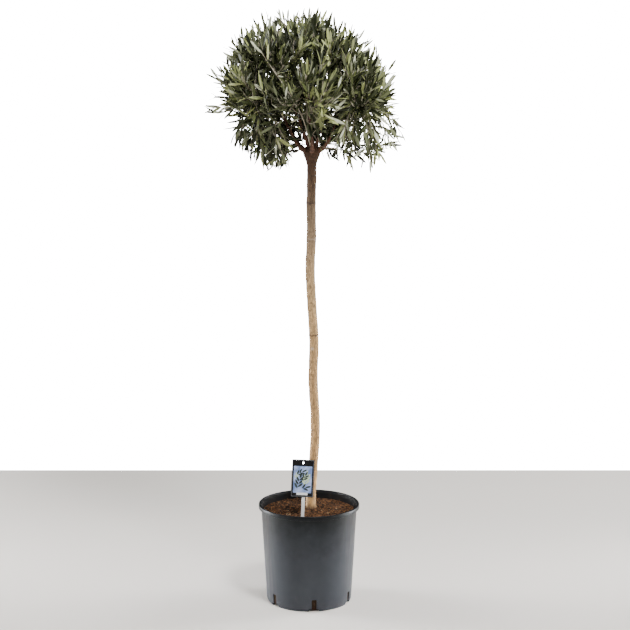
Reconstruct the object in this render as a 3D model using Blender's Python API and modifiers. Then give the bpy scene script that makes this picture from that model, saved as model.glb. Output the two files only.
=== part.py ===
"""A young olive tree, grown as a standard, in a black nursery pot.

Everything is in metres, with +Z up. The origin is on the ground, under the middle of the pot.
The pot is filled with compost, and the trunk stands in it with its plant label in front of it.
The trunk ends in a knob that the boughs grow from. Each bough carries one mass of foliage, and
each mass is grown by the same seeded rule inside a space of its own.
"""

import math
import random

import bmesh
import bpy
import numpy as np
from mathutils import Matrix, Vector

# Driving dimensions
POT_RIM_RADIUS = 0.125
POT_HEIGHT = 0.247
POT_FOOT_RADIUS = 0.105
POT_WALL = 0.0016
COMPOST_DEPTH_BELOW_RIM = 0.020
TRUNK_RADIUS = 0.0118
FORK = Vector((0.007, 0.0, 1.118))
CROWN_CENTRE = Vector((-0.004, 0.0, 1.272))
CROWN_HALF = Vector((0.184, 0.178, 0.140))
LEAF_LENGTH = 0.066
LEAF_WIDTH = 0.0205
SHOOTS = 80
SEED = 7

SEAT_GAP = 0.0003
MERGE = 0.00005
UP = Vector((0, 0, 1))


# Shared tools ---------------------------------------------------------------------------------


def clear_scene():
    for obj in list(bpy.data.objects):
        bpy.data.objects.remove(obj)


def collection(name):
    made = bpy.data.collections.new(name)
    bpy.context.scene.collection.children.link(made)
    return made


def material(name, colour, roughness):
    made = bpy.data.materials.new(name)
    made.use_nodes = True
    shader = made.node_tree.nodes["Principled BSDF"]
    shader.inputs["Base Color"].default_value = (*colour, 1.0)
    shader.inputs["Roughness"].default_value = roughness
    shader.inputs["Metallic"].default_value = 0.0
    made.diffuse_color = (*colour, 1.0)
    return made


def add_object(name, mesh, home, finish=None, place=None):
    made = bpy.data.objects.new(name, mesh)
    home.objects.link(made)
    if finish:
        mesh.materials.clear()
        mesh.materials.append(finish)
    if place:
        made.matrix_world = place
    return made


def add_cutter(name, mesh, home, place=None):
    made = add_object(name, mesh, home, place=place)
    made.hide_render = True
    made.display_type = "WIRE"
    return made


def mesh_from(bm, name):
    bmesh.ops.recalc_face_normals(bm, faces=bm.faces)
    mesh = bpy.data.meshes.new(name)
    bm.to_mesh(mesh)
    bm.free()
    return mesh


def shade_round(obj, degrees=35):
    obj.data.shade_smooth()
    obj.data.set_sharp_from_angle(angle=math.radians(degrees))


def turned(name, profile, steps, home, finish):
    """A solid of revolution. The profile runs down its outer side, top to bottom."""
    bm = bmesh.new()
    points = [bm.verts.new((radius, 0, height)) for radius, height in profile]
    for a, b in zip(points, points[1:]):
        bm.edges.new((a, b))
    mesh = bpy.data.meshes.new(name)
    bm.to_mesh(mesh)
    bm.free()
    obj = add_object(name, mesh, home, finish)
    screw = obj.modifiers.new("turn", "SCREW")
    screw.steps = screw.render_steps = steps
    screw.use_merge_vertices = True
    screw.merge_threshold = MERGE
    screw.use_smooth_shade = True
    return obj


def cut(obj, cutters):
    """Takes a collection of cutters out of an object."""
    boolean = obj.modifiers.new("cut", "BOOLEAN")
    boolean.operation = "DIFFERENCE"
    boolean.operand_type = "COLLECTION"
    boolean.collection = cutters
    boolean.solver = "EXACT"


def evaluated_mesh(obj, name):
    """A new mesh of the object as its modifiers leave it."""
    bpy.context.view_layer.update()
    evaluated = obj.evaluated_get(bpy.context.evaluated_depsgraph_get())
    mesh = bpy.data.meshes.new_from_object(evaluated)
    mesh.name = name
    return mesh


def box(size, middle=(0, 0, 0)):
    bm = bmesh.new()
    place = Matrix.Translation(middle) @ Matrix.Diagonal((*size, 1))
    bmesh.ops.create_cube(bm, size=1.0, matrix=place)
    return bm


def remove_all(objects):
    for obj in list(objects):
        mesh = obj.data
        bpy.data.objects.remove(obj)
        bpy.data.meshes.remove(mesh)


# Smooth lines ---------------------------------------------------------------------------------


def catmull_rom(before, start, end, after, share):
    """A point on the smooth curve from start to end. It works on numbers and on vectors."""
    s2, s3 = share * share, share**3
    return (
        start * 2
        + (end - before) * share
        + (before * 2 - start * 5 + end * 4 - after) * s2
        + (start * 3 - before - end * 3 + after) * s3
    ) * 0.5


def smooth_line(values, steps):
    """A smooth line through the values, with a number of steps between each two."""
    ends = [values[0] * 2 - values[1], *values, values[-1] * 2 - values[-2]]
    line = [
        catmull_rom(*ends[i : i + 4], step / steps)
        for i in range(len(values) - 1)
        for step in range(steps)
    ]
    return [*line, values[-1]]


def bend(start, control, end, share):
    """A point on the curve that leaves start for control and comes in to end from it."""
    return start.lerp(control, share).lerp(control.lerp(end, share), share)


def tangents(points):
    """The direction of a line of points at each of them."""
    sides = [points[0], *points, points[-1]]
    return [(after - before).normalized() for before, after in zip(sides, sides[2:])]


def limb(name, points, radii, resolution, home, finish):
    """A round limb that tapers along a line of points, made a mesh with welded caps."""
    curve = bpy.data.curves.new(name, "CURVE")
    curve.dimensions = "3D"
    curve.bevel_depth = 1.0
    curve.bevel_resolution = resolution
    curve.use_fill_caps = True
    curve.twist_mode = "MINIMUM"
    spline = curve.splines.new("POLY")
    spline.points.add(len(points) - 1)
    for slot, point, radius in zip(spline.points, points, radii):
        slot.co = (*point, 1.0)
        slot.radius = radius
    guide = bpy.data.objects.new(name + "_line", curve)
    home.objects.link(guide)
    mesh = evaluated_mesh(guide, name)
    bpy.data.objects.remove(guide)
    bm = bmesh.new()
    bm.from_mesh(mesh)
    bmesh.ops.remove_doubles(bm, verts=bm.verts, dist=MERGE)
    bm.to_mesh(mesh)
    bm.free()
    obj = add_object(name, mesh, home, finish)
    shade_round(obj, 50)
    return obj


# Pot ------------------------------------------------------------------------------------------

POT_STEPS = 48
LIP_DEPTH = 0.010
BODY_TOP_RADIUS = 0.1186
BODY_TOP = POT_HEIGHT - 0.006
FLOOR_THICK = 0.0024
FOOT_ROUND = 0.005
INNER_FOOT_RADIUS = POT_FOOT_RADIUS - POT_WALL
INNER_TOP_RADIUS = BODY_TOP_RADIUS - POT_WALL
DRAINS = 6
DRAIN_TURN = math.radians(-83)
DRAIN_WIDTH, DRAIN_TOP = 0.012, 0.031
FOOT_GAP_WIDTH, FOOT_GAP_HEIGHT = 0.026, 0.0065
FOOT_GAP_DEPTH = 0.012
CUT_PAST = 0.002


def inner_wall_radius(height):
    foot = FLOOR_THICK + FOOT_ROUND
    share = (height - foot) / (BODY_TOP - foot)
    return INNER_FOOT_RADIUS + share * (INNER_TOP_RADIUS - INNER_FOOT_RADIUS)


def pot_profile():
    """From the middle of the floor's upper side, up the inside, over the lip, down and under."""
    edge = POT_RIM_RADIUS
    inside = [
        (0, FLOOR_THICK),
        (INNER_FOOT_RADIUS - FOOT_ROUND, FLOOR_THICK),
        (INNER_FOOT_RADIUS, FLOOR_THICK + FOOT_ROUND),
        (INNER_TOP_RADIUS, BODY_TOP),
        (INNER_TOP_RADIUS + 0.0015, POT_HEIGHT - 0.001),
        (INNER_TOP_RADIUS + 0.0030, POT_HEIGHT),
    ]
    lip = [
        (edge - 0.0015, POT_HEIGHT),
        (edge, POT_HEIGHT - 0.0015),
        (edge, POT_HEIGHT - LIP_DEPTH),
        (edge - 0.0014, POT_HEIGHT - LIP_DEPTH),
        (edge - 0.0016, POT_HEIGHT - 0.0028),
        (BODY_TOP_RADIUS + 0.0035, POT_HEIGHT - 0.0030),
        (BODY_TOP_RADIUS, BODY_TOP - 0.004),
    ]
    outside = [
        (POT_FOOT_RADIUS + 0.0003, 0.006),
        (POT_FOOT_RADIUS - 0.0015, 0.0012),
        (POT_FOOT_RADIUS - 0.0035, 0),
        (0, 0),
    ]
    return inside + lip + outside


def make_pot(home, cutters, finish):
    """Each drain is a tall slot through the foot of the wall, over a low gap in the foot."""
    pot = turned("pot", pot_profile(), POT_STEPS, home, finish)
    sizes = {
        "slot": (0.016, DRAIN_WIDTH, DRAIN_TOP + CUT_PAST),
        "gap": (FOOT_GAP_DEPTH * 2, FOOT_GAP_WIDTH, FOOT_GAP_HEIGHT + CUT_PAST),
    }
    for index in range(DRAINS):
        turn = Matrix.Rotation(DRAIN_TURN + index * math.tau / DRAINS, 4, "Z")
        for kind, size in sizes.items():
            name = f"drain_{kind}_{index + 1}"
            place = turn @ Matrix.Translation((POT_FOOT_RADIUS, 0, size[2] / 2 - CUT_PAST))
            add_cutter(name, mesh_from(box(size), name), cutters, place)
    cut(pot, cutters)


# Plant label ----------------------------------------------------------------------------------

LABEL_FOOT = Vector((-0.016, -0.070, 0.226))
LABEL_ROLL = math.radians(2.7)
LABEL_LEAN = math.radians(-5)
CARD_WIDTH, CARD_HEIGHT, CARD_THICK = 0.055, 0.093, 0.0009
CARD_FOOT, CARD_SHIFT = 0.055, -0.004
CARD_CORNER = 0.002
HOLE_RADIUS, HOLE_DROP = 0.0025, 0.0085
STAKE_WIDTH, STAKE_THICK = 0.0078, 0.0013
STAKE_FOOT, STAKE_TOP = -0.045, CARD_FOOT + 0.020
STAKE_BACK = (CARD_THICK + STAKE_THICK) / 2 + SEAT_GAP


def label_place():
    """The label's own frame: Z runs up its stake, and -Y is the printed side."""
    lean = Matrix.Rotation(LABEL_LEAN, 4, "X") @ Matrix.Rotation(LABEL_ROLL, 4, "Y")
    return Matrix.Translation(LABEL_FOOT) @ lean


def make_label(home, punch, card_finish, stake_finish):
    """A printed card with round corners and a hole, and the stake that runs up behind it."""
    middle = Vector((CARD_SHIFT, 0, CARD_FOOT + CARD_HEIGHT / 2))
    card = box((CARD_WIDTH, CARD_THICK, CARD_HEIGHT), middle)
    corners = [edge for edge in card.edges if abs(edge.verts[0].co.y - edge.verts[1].co.y) > MERGE]
    bmesh.ops.bevel(card, geom=corners, offset=CARD_CORNER, segments=3, profile=0.5, affect="EDGES")
    card_mesh = mesh_from(card, "label_card")
    card_object = add_object("label_card", card_mesh, home, card_finish, label_place())
    hole = bmesh.new()
    hole_place = Matrix.Translation((CARD_SHIFT, 0, CARD_FOOT + CARD_HEIGHT - HOLE_DROP))
    bmesh.ops.create_cone(
        hole,
        cap_ends=True,
        segments=16,
        radius1=HOLE_RADIUS,
        radius2=HOLE_RADIUS,
        depth=CARD_THICK * 4,
        matrix=hole_place @ Matrix.Rotation(math.pi / 2, 4, "X"),
    )
    add_cutter("card_hole", mesh_from(hole, "card_hole"), punch, label_place())
    cut(card_object, punch)
    stake_size = (STAKE_WIDTH, STAKE_THICK, STAKE_TOP - STAKE_FOOT)
    stake = box(stake_size, (0, STAKE_BACK, (STAKE_TOP + STAKE_FOOT) / 2))
    stake_mesh = mesh_from(stake, "label_stake")
    add_object("label_stake", stake_mesh, home, stake_finish, label_place())


# Compost --------------------------------------------------------------------------------------

COMPOST_EDGE = POT_HEIGHT - COMPOST_DEPTH_BELOW_RIM
MOUND_TOP = COMPOST_EDGE + 0.008
MOUND_FLAT_RADIUS = 0.022


def compost_profile():
    """A low mound with a flat top that the trunk stands on, and the pot's inside below it."""
    edge_radius = inner_wall_radius(COMPOST_EDGE) - SEAT_GAP
    return [
        (0, MOUND_TOP),
        (MOUND_FLAT_RADIUS, MOUND_TOP),
        (0.048, MOUND_TOP - 0.0035),
        (0.085, COMPOST_EDGE + 0.001),
        (edge_radius, COMPOST_EDGE),
        (INNER_FOOT_RADIUS - SEAT_GAP, FLOOR_THICK + FOOT_ROUND),
        (INNER_FOOT_RADIUS - FOOT_ROUND - SEAT_GAP, FLOOR_THICK + SEAT_GAP),
        (0, FLOOR_THICK + SEAT_GAP),
    ]


def make_compost(home, cutters, finish):
    """The root ball, with a slot that the label's stake is pushed into."""
    compost = turned("compost", compost_profile(), POT_STEPS, home, finish)
    room = 2 * SEAT_GAP
    slot_size = (STAKE_WIDTH + room, STAKE_THICK + room, STAKE_TOP - STAKE_FOOT + room)
    slot = box(slot_size, (0, STAKE_BACK, (STAKE_TOP + STAKE_FOOT) / 2))
    add_cutter("stake_slot", mesh_from(slot, "stake_slot"), cutters, label_place())
    cut(compost, cutters)


# Trunk ----------------------------------------------------------------------------------------

TRUNK_FOOT = MOUND_TOP + SEAT_GAP
TRUNK_ROUNDNESS = 4
TRUNK_WAVES = (
    (0.005, 0.000, TRUNK_FOOT),
    (0.005, 0.000, 0.270),
    (0.010, 0.002, 0.334),
    (0.015, 0.003, 0.413),
    (0.015, 0.002, 0.474),
    (0.010, -0.001, 0.565),
    (0.0125, -0.002, 0.655),
    (0.0075, 0.000, 0.744),
    (0.003, 0.002, 0.833),
    (0.0065, 0.002, 0.921),
    (0.0055, 0.000, 0.990),
    (0.007, 0.000, 1.060),
)
FLARE_RADIUS, FLARE_HEIGHT = 0.0136, 0.035
KNOB_ROOM = 0.0004
KNOB = (
    (-0.030, 0.0121),
    (-0.018, 0.0145),
    (-0.006, 0.0195),
    (0.004, 0.0215),
    (0.011, 0.0185),
    (0.015, 0.0110),
)


def trunk_line():
    """The trunk's points and radii, from its foot up to the top of its knob."""
    points = smooth_line([Vector(point) for point in TRUNK_WAVES], 3)
    points[1].xy = points[0].xy
    radii = []
    for point in points:
        flare = max(0, 1 - (point.z - TRUNK_FOOT) / FLARE_HEIGHT)
        radii.append(TRUNK_RADIUS + flare * flare * (FLARE_RADIUS - TRUNK_RADIUS))
    knob_points = [FORK + UP * rise for rise, _ in KNOB]
    return points + knob_points, radii + [radius for _, radius in KNOB]


# Crown ----------------------------------------------------------------------------------------

TIERS = (("top", 1, 90, 0), ("upper", 4, 36, 45), ("lower", 6, -8, 30))
MIDDLE_SHARE, LEADER_END = 0.56, 0.90
BOUGH_SEAT = {"top": 0.0, "upper": 0.005, "lower": 0.012}
BOUGH_START_RISE = {"top": 90, "upper": 66, "lower": 42}
BOUGH_RADIUS = {"top": 0.0042, "upper": 0.0041, "lower": 0.0048}
BOUGH_TIP_RADIUS = 0.0032
BOUGH_ELBOW = 0.045
LEADER_STEPS, LEAST_BOUGH_STEPS = 5, 7
LOBES = (
    (Vector((-0.70, -0.2, 0.70)), 0.12),
    (Vector((0.80, -0.4, -0.45)), 0.12),
    (Vector((0.60, -0.3, 0.74)), -0.06),
    (Vector((-0.60, -0.3, -0.74)), -0.06),
)
LOBE_TIGHTNESS = 5


def direction(azimuth, rise):
    """A unit vector from two angles in degrees. Azimuth 0 is +X, and it turns towards +Y."""
    turn, climb = math.radians(azimuth), math.radians(rise)
    flat = math.cos(climb)
    return Vector((flat * math.cos(turn), flat * math.sin(turn), math.sin(climb)))


def crown_point(way, share):
    """A point that lies a share of the way from the crown's middle to its shoot tips."""
    swell = 1.0
    for lobe, gain in LOBES:
        swell += gain * max(0, way.dot(lobe.normalized())) ** LOBE_TIGHTNESS
    return CROWN_CENTRE + CROWN_HALF * way * share * swell


def crown_masses():
    """Each mass's name, with its tier and the way that it lies from the crown's middle."""
    masses = {}
    for tier, count, rise, turn in TIERS:
        for index in range(count):
            name = tier if count == 1 else f"{tier}_{index + 1}"
            masses[name] = (tier, turn + index * 360 / count, rise)
    return masses


def leader_line(tier, azimuth, rise):
    """A bough and the mass's stem beyond it, as one line from the knob to the crown's edge."""
    start = FORK + BOUGH_SEAT[tier] * direction(azimuth, 0)
    elbow = start + BOUGH_ELBOW * direction(azimuth, BOUGH_START_RISE[tier])
    way = direction(azimuth, rise)
    middle, end = crown_point(way, MIDDLE_SHARE), crown_point(way, LEADER_END)
    return smooth_line([start, elbow, middle, end], LEADER_STEPS)


def tapered(first, last, count):
    return [first + (last - first) * i / (count - 1) for i in range(count)]


def bough_end(line, walls):
    """The number of the point at which a bough has entered its mass's space and ends."""
    return next(
        index
        for index in range(LEAST_BOUGH_STEPS, len(line))
        if within(walls, line[index:], TWIG_MARGIN)
    )


def make_bough(name, points, radii, knob_room, home, finish):
    bough = limb("bough_" + name, points, radii, 2, home, finish)
    cut(bough, knob_room)


# Foliage --------------------------------------------------------------------------------------

SPACE_GAP = 0.0010
KNOB_REACH = 18
SAMPLE_STEP = 0.003
LIMB_GAP = 0.0012
LEAF_GAP = 0.0065
TWIG_MARGIN = 0.004
STEM_TIP_RADIUS = 0.0018
SHOOT_RADIUS, SHOOT_TIP_RADIUS = 0.0021, 0.0011
SHOOT_STEPS = 3
LOWEST_TIP = -0.93
LONG_SHOOT_TIPS = (
    (0.008, 0.000, 1.420),
    (-0.206, -0.020, 1.284),
    (0.186, -0.040, 1.170),
    (0.145, -0.070, 1.115),
    (-0.062, -0.085, 1.122),
)
TIP_JITTER = 0.07
FORK_ANGLE = math.radians(50)
ARCH, HANG, HANGING_BELOW = 0.13, 0.10, -0.45
ARCH_RANGE = (0.6, 1.3)
PULL = 0.06
BARE_SHARE = 0.22
PAIR_STEP = 0.0225
LEAF_ANGLES = (math.radians(58), math.radians(34))
LEAF_ROLL = math.radians(25)
LEAN_JITTER = math.radians(7)
LEAF_SIZES = (0.88, 1.08)
LEAF_WIDEST = 0.42
LEAF_LIFT = 0.0014
FACE_TURN = math.pi / 4
END_LEAF_ROOT, END_LEAF_ANGLE = 0.002, 0.2
SHRINK = 0.15
GOLDEN_TURN = math.pi * (3 - math.sqrt(5))


def shoot_ways():
    """Ways from the crown's middle to its shoot tips, spread evenly by the golden angle."""
    rng = random.Random(SEED)
    ways = []
    for index in range(SHOOTS):
        height = 1 - (index + 0.5) * (1 - LOWEST_TIP) / SHOOTS
        turn = index * GOLDEN_TURN
        flat = math.sqrt(1 - height * height)
        wobble = [rng.uniform(-TIP_JITTER, TIP_JITTER) for _ in range(3)]
        way = Vector((flat * math.cos(turn), flat * math.sin(turn), height)) + Vector(wobble)
        ways.append(way.normalized())
    return ways


def space_walls(name, middles):
    """The planes half way to each neighbour: their outward normals, and how far out they are."""
    here = middles[name]
    others = [middle for other, middle in middles.items() if other != name]
    normals = [(other - here).normalized() for other in others]
    reach = [n.dot(here + other) / 2 - SPACE_GAP / 2 for n, other in zip(normals, others)]
    return np.array(normals), np.array(reach)


def within(walls, points, margin=0.0):
    normals, reach = walls
    return bool((np.array(points) @ normals.T < reach - margin).all())


def limb_samples(lines):
    """Close points along the limbs' middles, each with the limb's radius there."""
    samples = []
    for points, radii in lines:
        for a, b, ra, rb in zip(points, points[1:], radii, radii[1:]):
            steps = max(1, round((b - a).length / SAMPLE_STEP))
            for i in range(steps):
                samples.append((*a.lerp(b, i / steps), ra + (rb - ra) * i / steps))
        samples.append((*points[-1], radii[-1]))
    return np.array(samples)


def clear_of(samples, points, gap):
    """Whether all the points lie a gap or more from the round limbs that the samples give."""
    apart = np.array(points)[:, None, :] - samples[None, :, :3]
    return bool((np.linalg.norm(apart, axis=2) - samples[None, :, 3]).min() > gap)


def turns_along(points):
    """A turn for each point, that takes +Z to the line's direction and twists as little as can be."""
    turns = []
    turn = Matrix.Identity(3).to_quaternion()
    for tangent in tangents(points):
        turn = (turn @ UP).rotation_difference(tangent) @ turn
        turns.append(turn)
    return turns


def rod(points, radii):
    """A tapering four-sided twig: a face that is extruded from each point to the next."""
    places = [
        Matrix.Translation(point) @ turn.to_matrix().to_4x4()
        for point, turn in zip(points, turns_along(points))
    ]
    bm = bmesh.new()
    bmesh.ops.create_circle(bm, cap_ends=True, segments=4, radius=radii[0], matrix=places[0])
    end = bm.faces[:]
    for index in range(1, len(points)):
        made = bmesh.ops.extrude_face_region(bm, geom=end)
        if index > 1:
            bmesh.ops.delete(bm, geom=end, context="FACES_ONLY")
        end = [item for item in made["geom"] if isinstance(item, bmesh.types.BMFace)]
        thinner = Matrix.Scale(radii[index] / radii[index - 1], 4)
        move = places[index] @ thinner @ places[index - 1].inverted()
        bmesh.ops.transform(bm, matrix=move, verts=end[0].verts)
    bmesh.ops.recalc_face_normals(bm, faces=bm.faces)
    return bm


def leaf(length, width, place):
    """A slim kite from a three-sided cone: its point is the root, and its sides lift off the rib."""
    bm = bmesh.new()
    bmesh.ops.create_cone(bm, cap_ends=True, segments=3, radius1=1, radius2=0, depth=2)
    for vert in bm.verts:
        side = round(vert.co.x)
        if vert.co.z > 0:
            vert.co = (0, 0, 0)
        elif side:
            vert.co = (side * width / 2, length * LEAF_WIDEST, LEAF_LIFT)
        else:
            vert.co = (0, length, 0)
    bmesh.ops.transform(bm, matrix=place, verts=bm.verts)
    bmesh.ops.recalc_face_normals(bm, faces=bm.faces)
    return bm


def leaf_place(root, along, side, angle, roll):
    """A leaf's frame at its root: Y runs up the leaf, and its upper face looks up the shoot."""
    heading = along * math.cos(angle) + side * math.sin(angle)
    face = along * math.sin(angle) - side * math.cos(angle)
    turn = Matrix((heading.cross(face), heading, face)).transposed()
    return Matrix.Translation(root) @ turn.to_4x4() @ Matrix.Rotation(roll, 4, "Y")


def line_spot(points, distance):
    """The point at a distance along a line of points, and the number of the stretch it is on."""
    for index, (a, b) in enumerate(zip(points, points[1:])):
        length = (b - a).length
        if distance <= length:
            return a.lerp(b, distance / length), index
        distance -= length
    return points[-1], len(points) - 2


def line_length(points):
    return sum((b - a).length for a, b in zip(points, points[1:]))


def pulled_in(point, middle, walls, margin):
    """The point, drawn towards the middle of its space until it lies inside by the margin."""
    while not within(walls, [point], margin):
        point = point.lerp(middle, PULL)
    return point


def grow_shoots(stem, middle, walls, limbs, tips, rng):
    """The mass's shoots. Each leaves the stem where it makes about the fork angle with it."""
    lines = []
    starts = [
        (point, way)
        for point, way in zip(stem[1:-1], tangents(stem)[1:-1])
        if within(walls, [point], TWIG_MARGIN)
    ]
    for tip in tips:
        tip = pulled_in(tip, middle, walls, TWIG_MARGIN)
        start, _ = min(starts, key=lambda spot: abs((tip - spot[0]).angle(spot[1]) - FORK_ANGLE))
        reach = tip - start
        sag = ARCH if reach.normalized().z > HANGING_BELOW else -HANG
        sag *= rng.uniform(*ARCH_RANGE)
        control = start.lerp(tip, 0.5) - UP * sag * reach.length
        control = pulled_in(control, middle, walls, TWIG_MARGIN)
        line = [bend(start, control, tip, i / SHOOT_STEPS) for i in range(SHOOT_STEPS + 1)]
        if clear_of(limbs, line[1:], LIMB_GAP + SHOOT_RADIUS):
            lines.append(line)
    return lines


def leaf_spots(line, rng):
    """Where a shoot's leaves stand: opposite pairs, each a quarter turn on from the last, then one."""
    length = line_length(line)
    turns = turns_along(line)
    distance = length * BARE_SHARE
    spoke = FACE_TURN
    while distance < length - PAIR_STEP / 3:
        share = distance / length
        root, stretch = line_spot(line, distance)
        angle = LEAF_ANGLES[0] + share * (LEAF_ANGLES[1] - LEAF_ANGLES[0])
        for half_turn in (0, math.pi):
            yield root, stretch, turns[stretch], spoke + half_turn, angle, share
        distance += PAIR_STEP * rng.uniform(0.85, 1.15)
        spoke += math.pi / 2
    root, stretch = line_spot(line, length - END_LEAF_ROOT)
    yield root, stretch, turns[stretch], spoke, END_LEAF_ANGLE, 1.0


def grow_leaves(line, walls, limbs, taken, rng):
    """The leaves of one shoot, less those that would leave the space or touch what is there."""
    leaves = []
    for root, stretch, turn, spoke, angle, share in leaf_spots(line, rng):
        along = (line[stretch + 1] - line[stretch]).normalized()
        side = turn @ Vector((math.cos(spoke), math.sin(spoke), 0))
        side = (side - along * side.dot(along)).normalized()
        size = rng.uniform(*LEAF_SIZES) * (1 - SHRINK * share)
        lean = angle + rng.uniform(-LEAN_JITTER, LEAN_JITTER)
        place = leaf_place(root, along, side, lean, rng.uniform(-LEAF_ROLL, LEAF_ROLL))
        length, width = LEAF_LENGTH * size, LEAF_WIDTH * size
        spine = [place @ Vector((0, length * step / 6, 0)) for step in range(2, 7)]
        sides = [place @ Vector((x * width / 2, length * LEAF_WIDEST, 0)) for x in (-1, 1)]
        near = [place @ Vector((0, 0.004, 0)), *spine, *sides]
        if not within(walls, near, LEAF_LIFT) or not clear_of(limbs, near, LIMB_GAP):
            continue
        if taken and not clear_of(np.array(taken), spine, LEAF_GAP):
            continue
        taken.extend((*point, 0.0) for point in spine)
        leaves.append(leaf(length, width, place))
    return leaves


def shells(bm):
    """The mesh's separate shells, as lists of vertices."""
    left = set(bm.verts)
    found = []
    while left:
        edge_of = [left.pop()]
        shell = []
        while edge_of:
            vert = edge_of.pop()
            shell.append(vert)
            for edge in vert.link_edges:
                other = edge.other_vert(vert)
                if other in left:
                    left.remove(other)
                    edge_of.append(other)
        found.append(shell)
    return found


def fused(name, shapes, home, finish):
    """Joins closed shapes by one Boolean union. It keeps the largest shell that this leaves."""
    pieces = collection(name + "_pieces")
    objects = [
        add_object(f"{name}_piece_{index}", mesh_from(shape, f"{name}_piece"), pieces)
        for index, shape in enumerate(shapes)
    ]
    base = objects[0]
    home.objects.link(base)
    pieces.objects.unlink(base)
    union = base.modifiers.new("union", "BOOLEAN")
    union.operation = "UNION"
    union.operand_type = "COLLECTION"
    union.collection = pieces
    union.solver = "MANIFOLD"
    mesh = evaluated_mesh(base, name)
    remove_all(objects)
    bpy.data.collections.remove(pieces)
    bm = bmesh.new()
    bm.from_mesh(mesh)
    scraps = sorted(shells(bm), key=len)[:-1]
    bmesh.ops.delete(bm, geom=[vert for shell in scraps for vert in shell], context="VERTS")
    bm.to_mesh(mesh)
    bm.free()
    add_object(name, mesh, home, finish)


def make_foliage(name, line, middle, walls, limbs, tips, home, finish):
    """One mass: a stem that carries on from its bough, shoots on it, and their leaves."""
    rng = random.Random(f"{SEED} {name}")
    end = bough_end(line, walls)
    stem = line[end:]
    stem[0] = stem[0] + (stem[0] - line[end - 1]).normalized() * SEAT_GAP
    shoots = grow_shoots(stem, middle, walls, limbs, tips, rng)
    shapes = [rod(stem, tapered(BOUGH_TIP_RADIUS, STEM_TIP_RADIUS, len(stem)))]
    for shoot in shoots:
        shapes.append(rod(shoot, tapered(SHOOT_RADIUS, SHOOT_TIP_RADIUS, len(shoot))))
    taken = []
    for shoot in [stem, *shoots]:
        shapes += grow_leaves(shoot, walls, limbs, taken, rng)
    fused("foliage_" + name, shapes, home, finish)


# The whole plant ------------------------------------------------------------------------------


def make_tree(home, knob_room, bark, leaf_green):
    points, radii = trunk_line()
    limb("trunk", points, radii, TRUNK_ROUNDNESS, home, bark)
    room_radii = [radius + KNOB_ROOM for radius in radii]
    room_points = [*points[:-1], points[-1] + UP * KNOB_ROOM]
    room = limb("knob_room", room_points, room_radii, TRUNK_ROUNDNESS, knob_room, None)
    room.hide_render = True
    room.display_type = "WIRE"
    masses = crown_masses()
    lines = {name: leader_line(*shape) for name, shape in masses.items()}
    middles = {
        name: crown_point(direction(azimuth, rise), MIDDLE_SHARE)
        for name, (_, azimuth, rise) in masses.items()
    }
    walls = {name: space_walls(name, middles) for name in masses}
    limbs = [(points[-KNOB_REACH:], radii[-KNOB_REACH:])]
    for name, (tier, _, _) in masses.items():
        bough = lines[name][: bough_end(lines[name], walls[name]) + 1]
        bough_radii = tapered(BOUGH_RADIUS[tier], BOUGH_TIP_RADIUS, len(bough))
        make_bough(name, bough, bough_radii, knob_room, home, bark)
        limbs.append((bough, bough_radii))
    samples = limb_samples(limbs)
    tips = {name: [] for name in masses}
    long_tips = [Vector(tip) for tip in LONG_SHOOT_TIPS]
    for tip in long_tips + [crown_point(way, 1.0) for way in shoot_ways()]:
        nearest = min(middles, key=lambda name: (middles[name] - tip).length)
        tips[nearest].append(tip)
    for name in masses:
        make_foliage(
            name, lines[name], middles[name], walls[name], samples, tips[name], home, leaf_green
        )


clear_scene()
part = collection("potted_olive_tree")
black = material("black_plastic", (0.045, 0.046, 0.050), 0.45)
earth = material("moist_compost", (0.10, 0.065, 0.045), 0.95)
print_black = material("printed_card", (0.03, 0.03, 0.035), 0.4)
white = material("white_plastic", (0.80, 0.80, 0.78), 0.4)
bark = material("olive_bark", (0.32, 0.25, 0.19), 0.85)
leaf_green = material("olive_leaf", (0.16, 0.18, 0.10), 0.55)
make_pot(part, collection("drain_cutters"), black)
make_compost(part, collection("compost_cutters"), earth)
make_label(part, collection("label_cutters"), print_black, white)
make_tree(part, collection("knob_room"), bark, leaf_green)
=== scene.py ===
import math
import random

import bmesh
import bpy
import numpy as np
from mathutils import Matrix, Vector, noise


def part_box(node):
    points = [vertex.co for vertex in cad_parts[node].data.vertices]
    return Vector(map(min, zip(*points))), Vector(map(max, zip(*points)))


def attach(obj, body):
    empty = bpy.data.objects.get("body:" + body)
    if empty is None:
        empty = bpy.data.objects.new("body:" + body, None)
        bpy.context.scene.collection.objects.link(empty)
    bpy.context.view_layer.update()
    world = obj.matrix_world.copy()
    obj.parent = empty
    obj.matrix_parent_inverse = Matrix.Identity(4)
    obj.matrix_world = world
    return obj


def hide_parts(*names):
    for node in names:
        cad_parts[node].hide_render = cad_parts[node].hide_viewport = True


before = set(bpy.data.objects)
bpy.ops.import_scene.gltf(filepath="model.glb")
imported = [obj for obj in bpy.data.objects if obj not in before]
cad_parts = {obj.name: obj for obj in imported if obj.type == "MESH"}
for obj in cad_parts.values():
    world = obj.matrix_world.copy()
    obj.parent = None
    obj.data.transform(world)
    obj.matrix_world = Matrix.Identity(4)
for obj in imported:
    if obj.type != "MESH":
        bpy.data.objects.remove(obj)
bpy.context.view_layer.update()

# Ground, camera and light ---------------------------------------------------------------------
# The plant stands on a plain pale floor that ends a step behind it, in a bright white studio.
# The camera is at eye height, 4.5 m in front of the pot, and looks a little down.

FLOOR_BACK, FLOOR_FRONT, FLOOR_SIDE = 1.22, -6.0, 2.3
CAMERA_PLACE = Vector((0.0149, -4.5, 1.554))
CAMERA_PITCH = math.radians(10.48)
CAMERA_LENS = 107.3
STUDIO_LIGHT, BACKDROP_LIGHT = 0.12, 26


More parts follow.
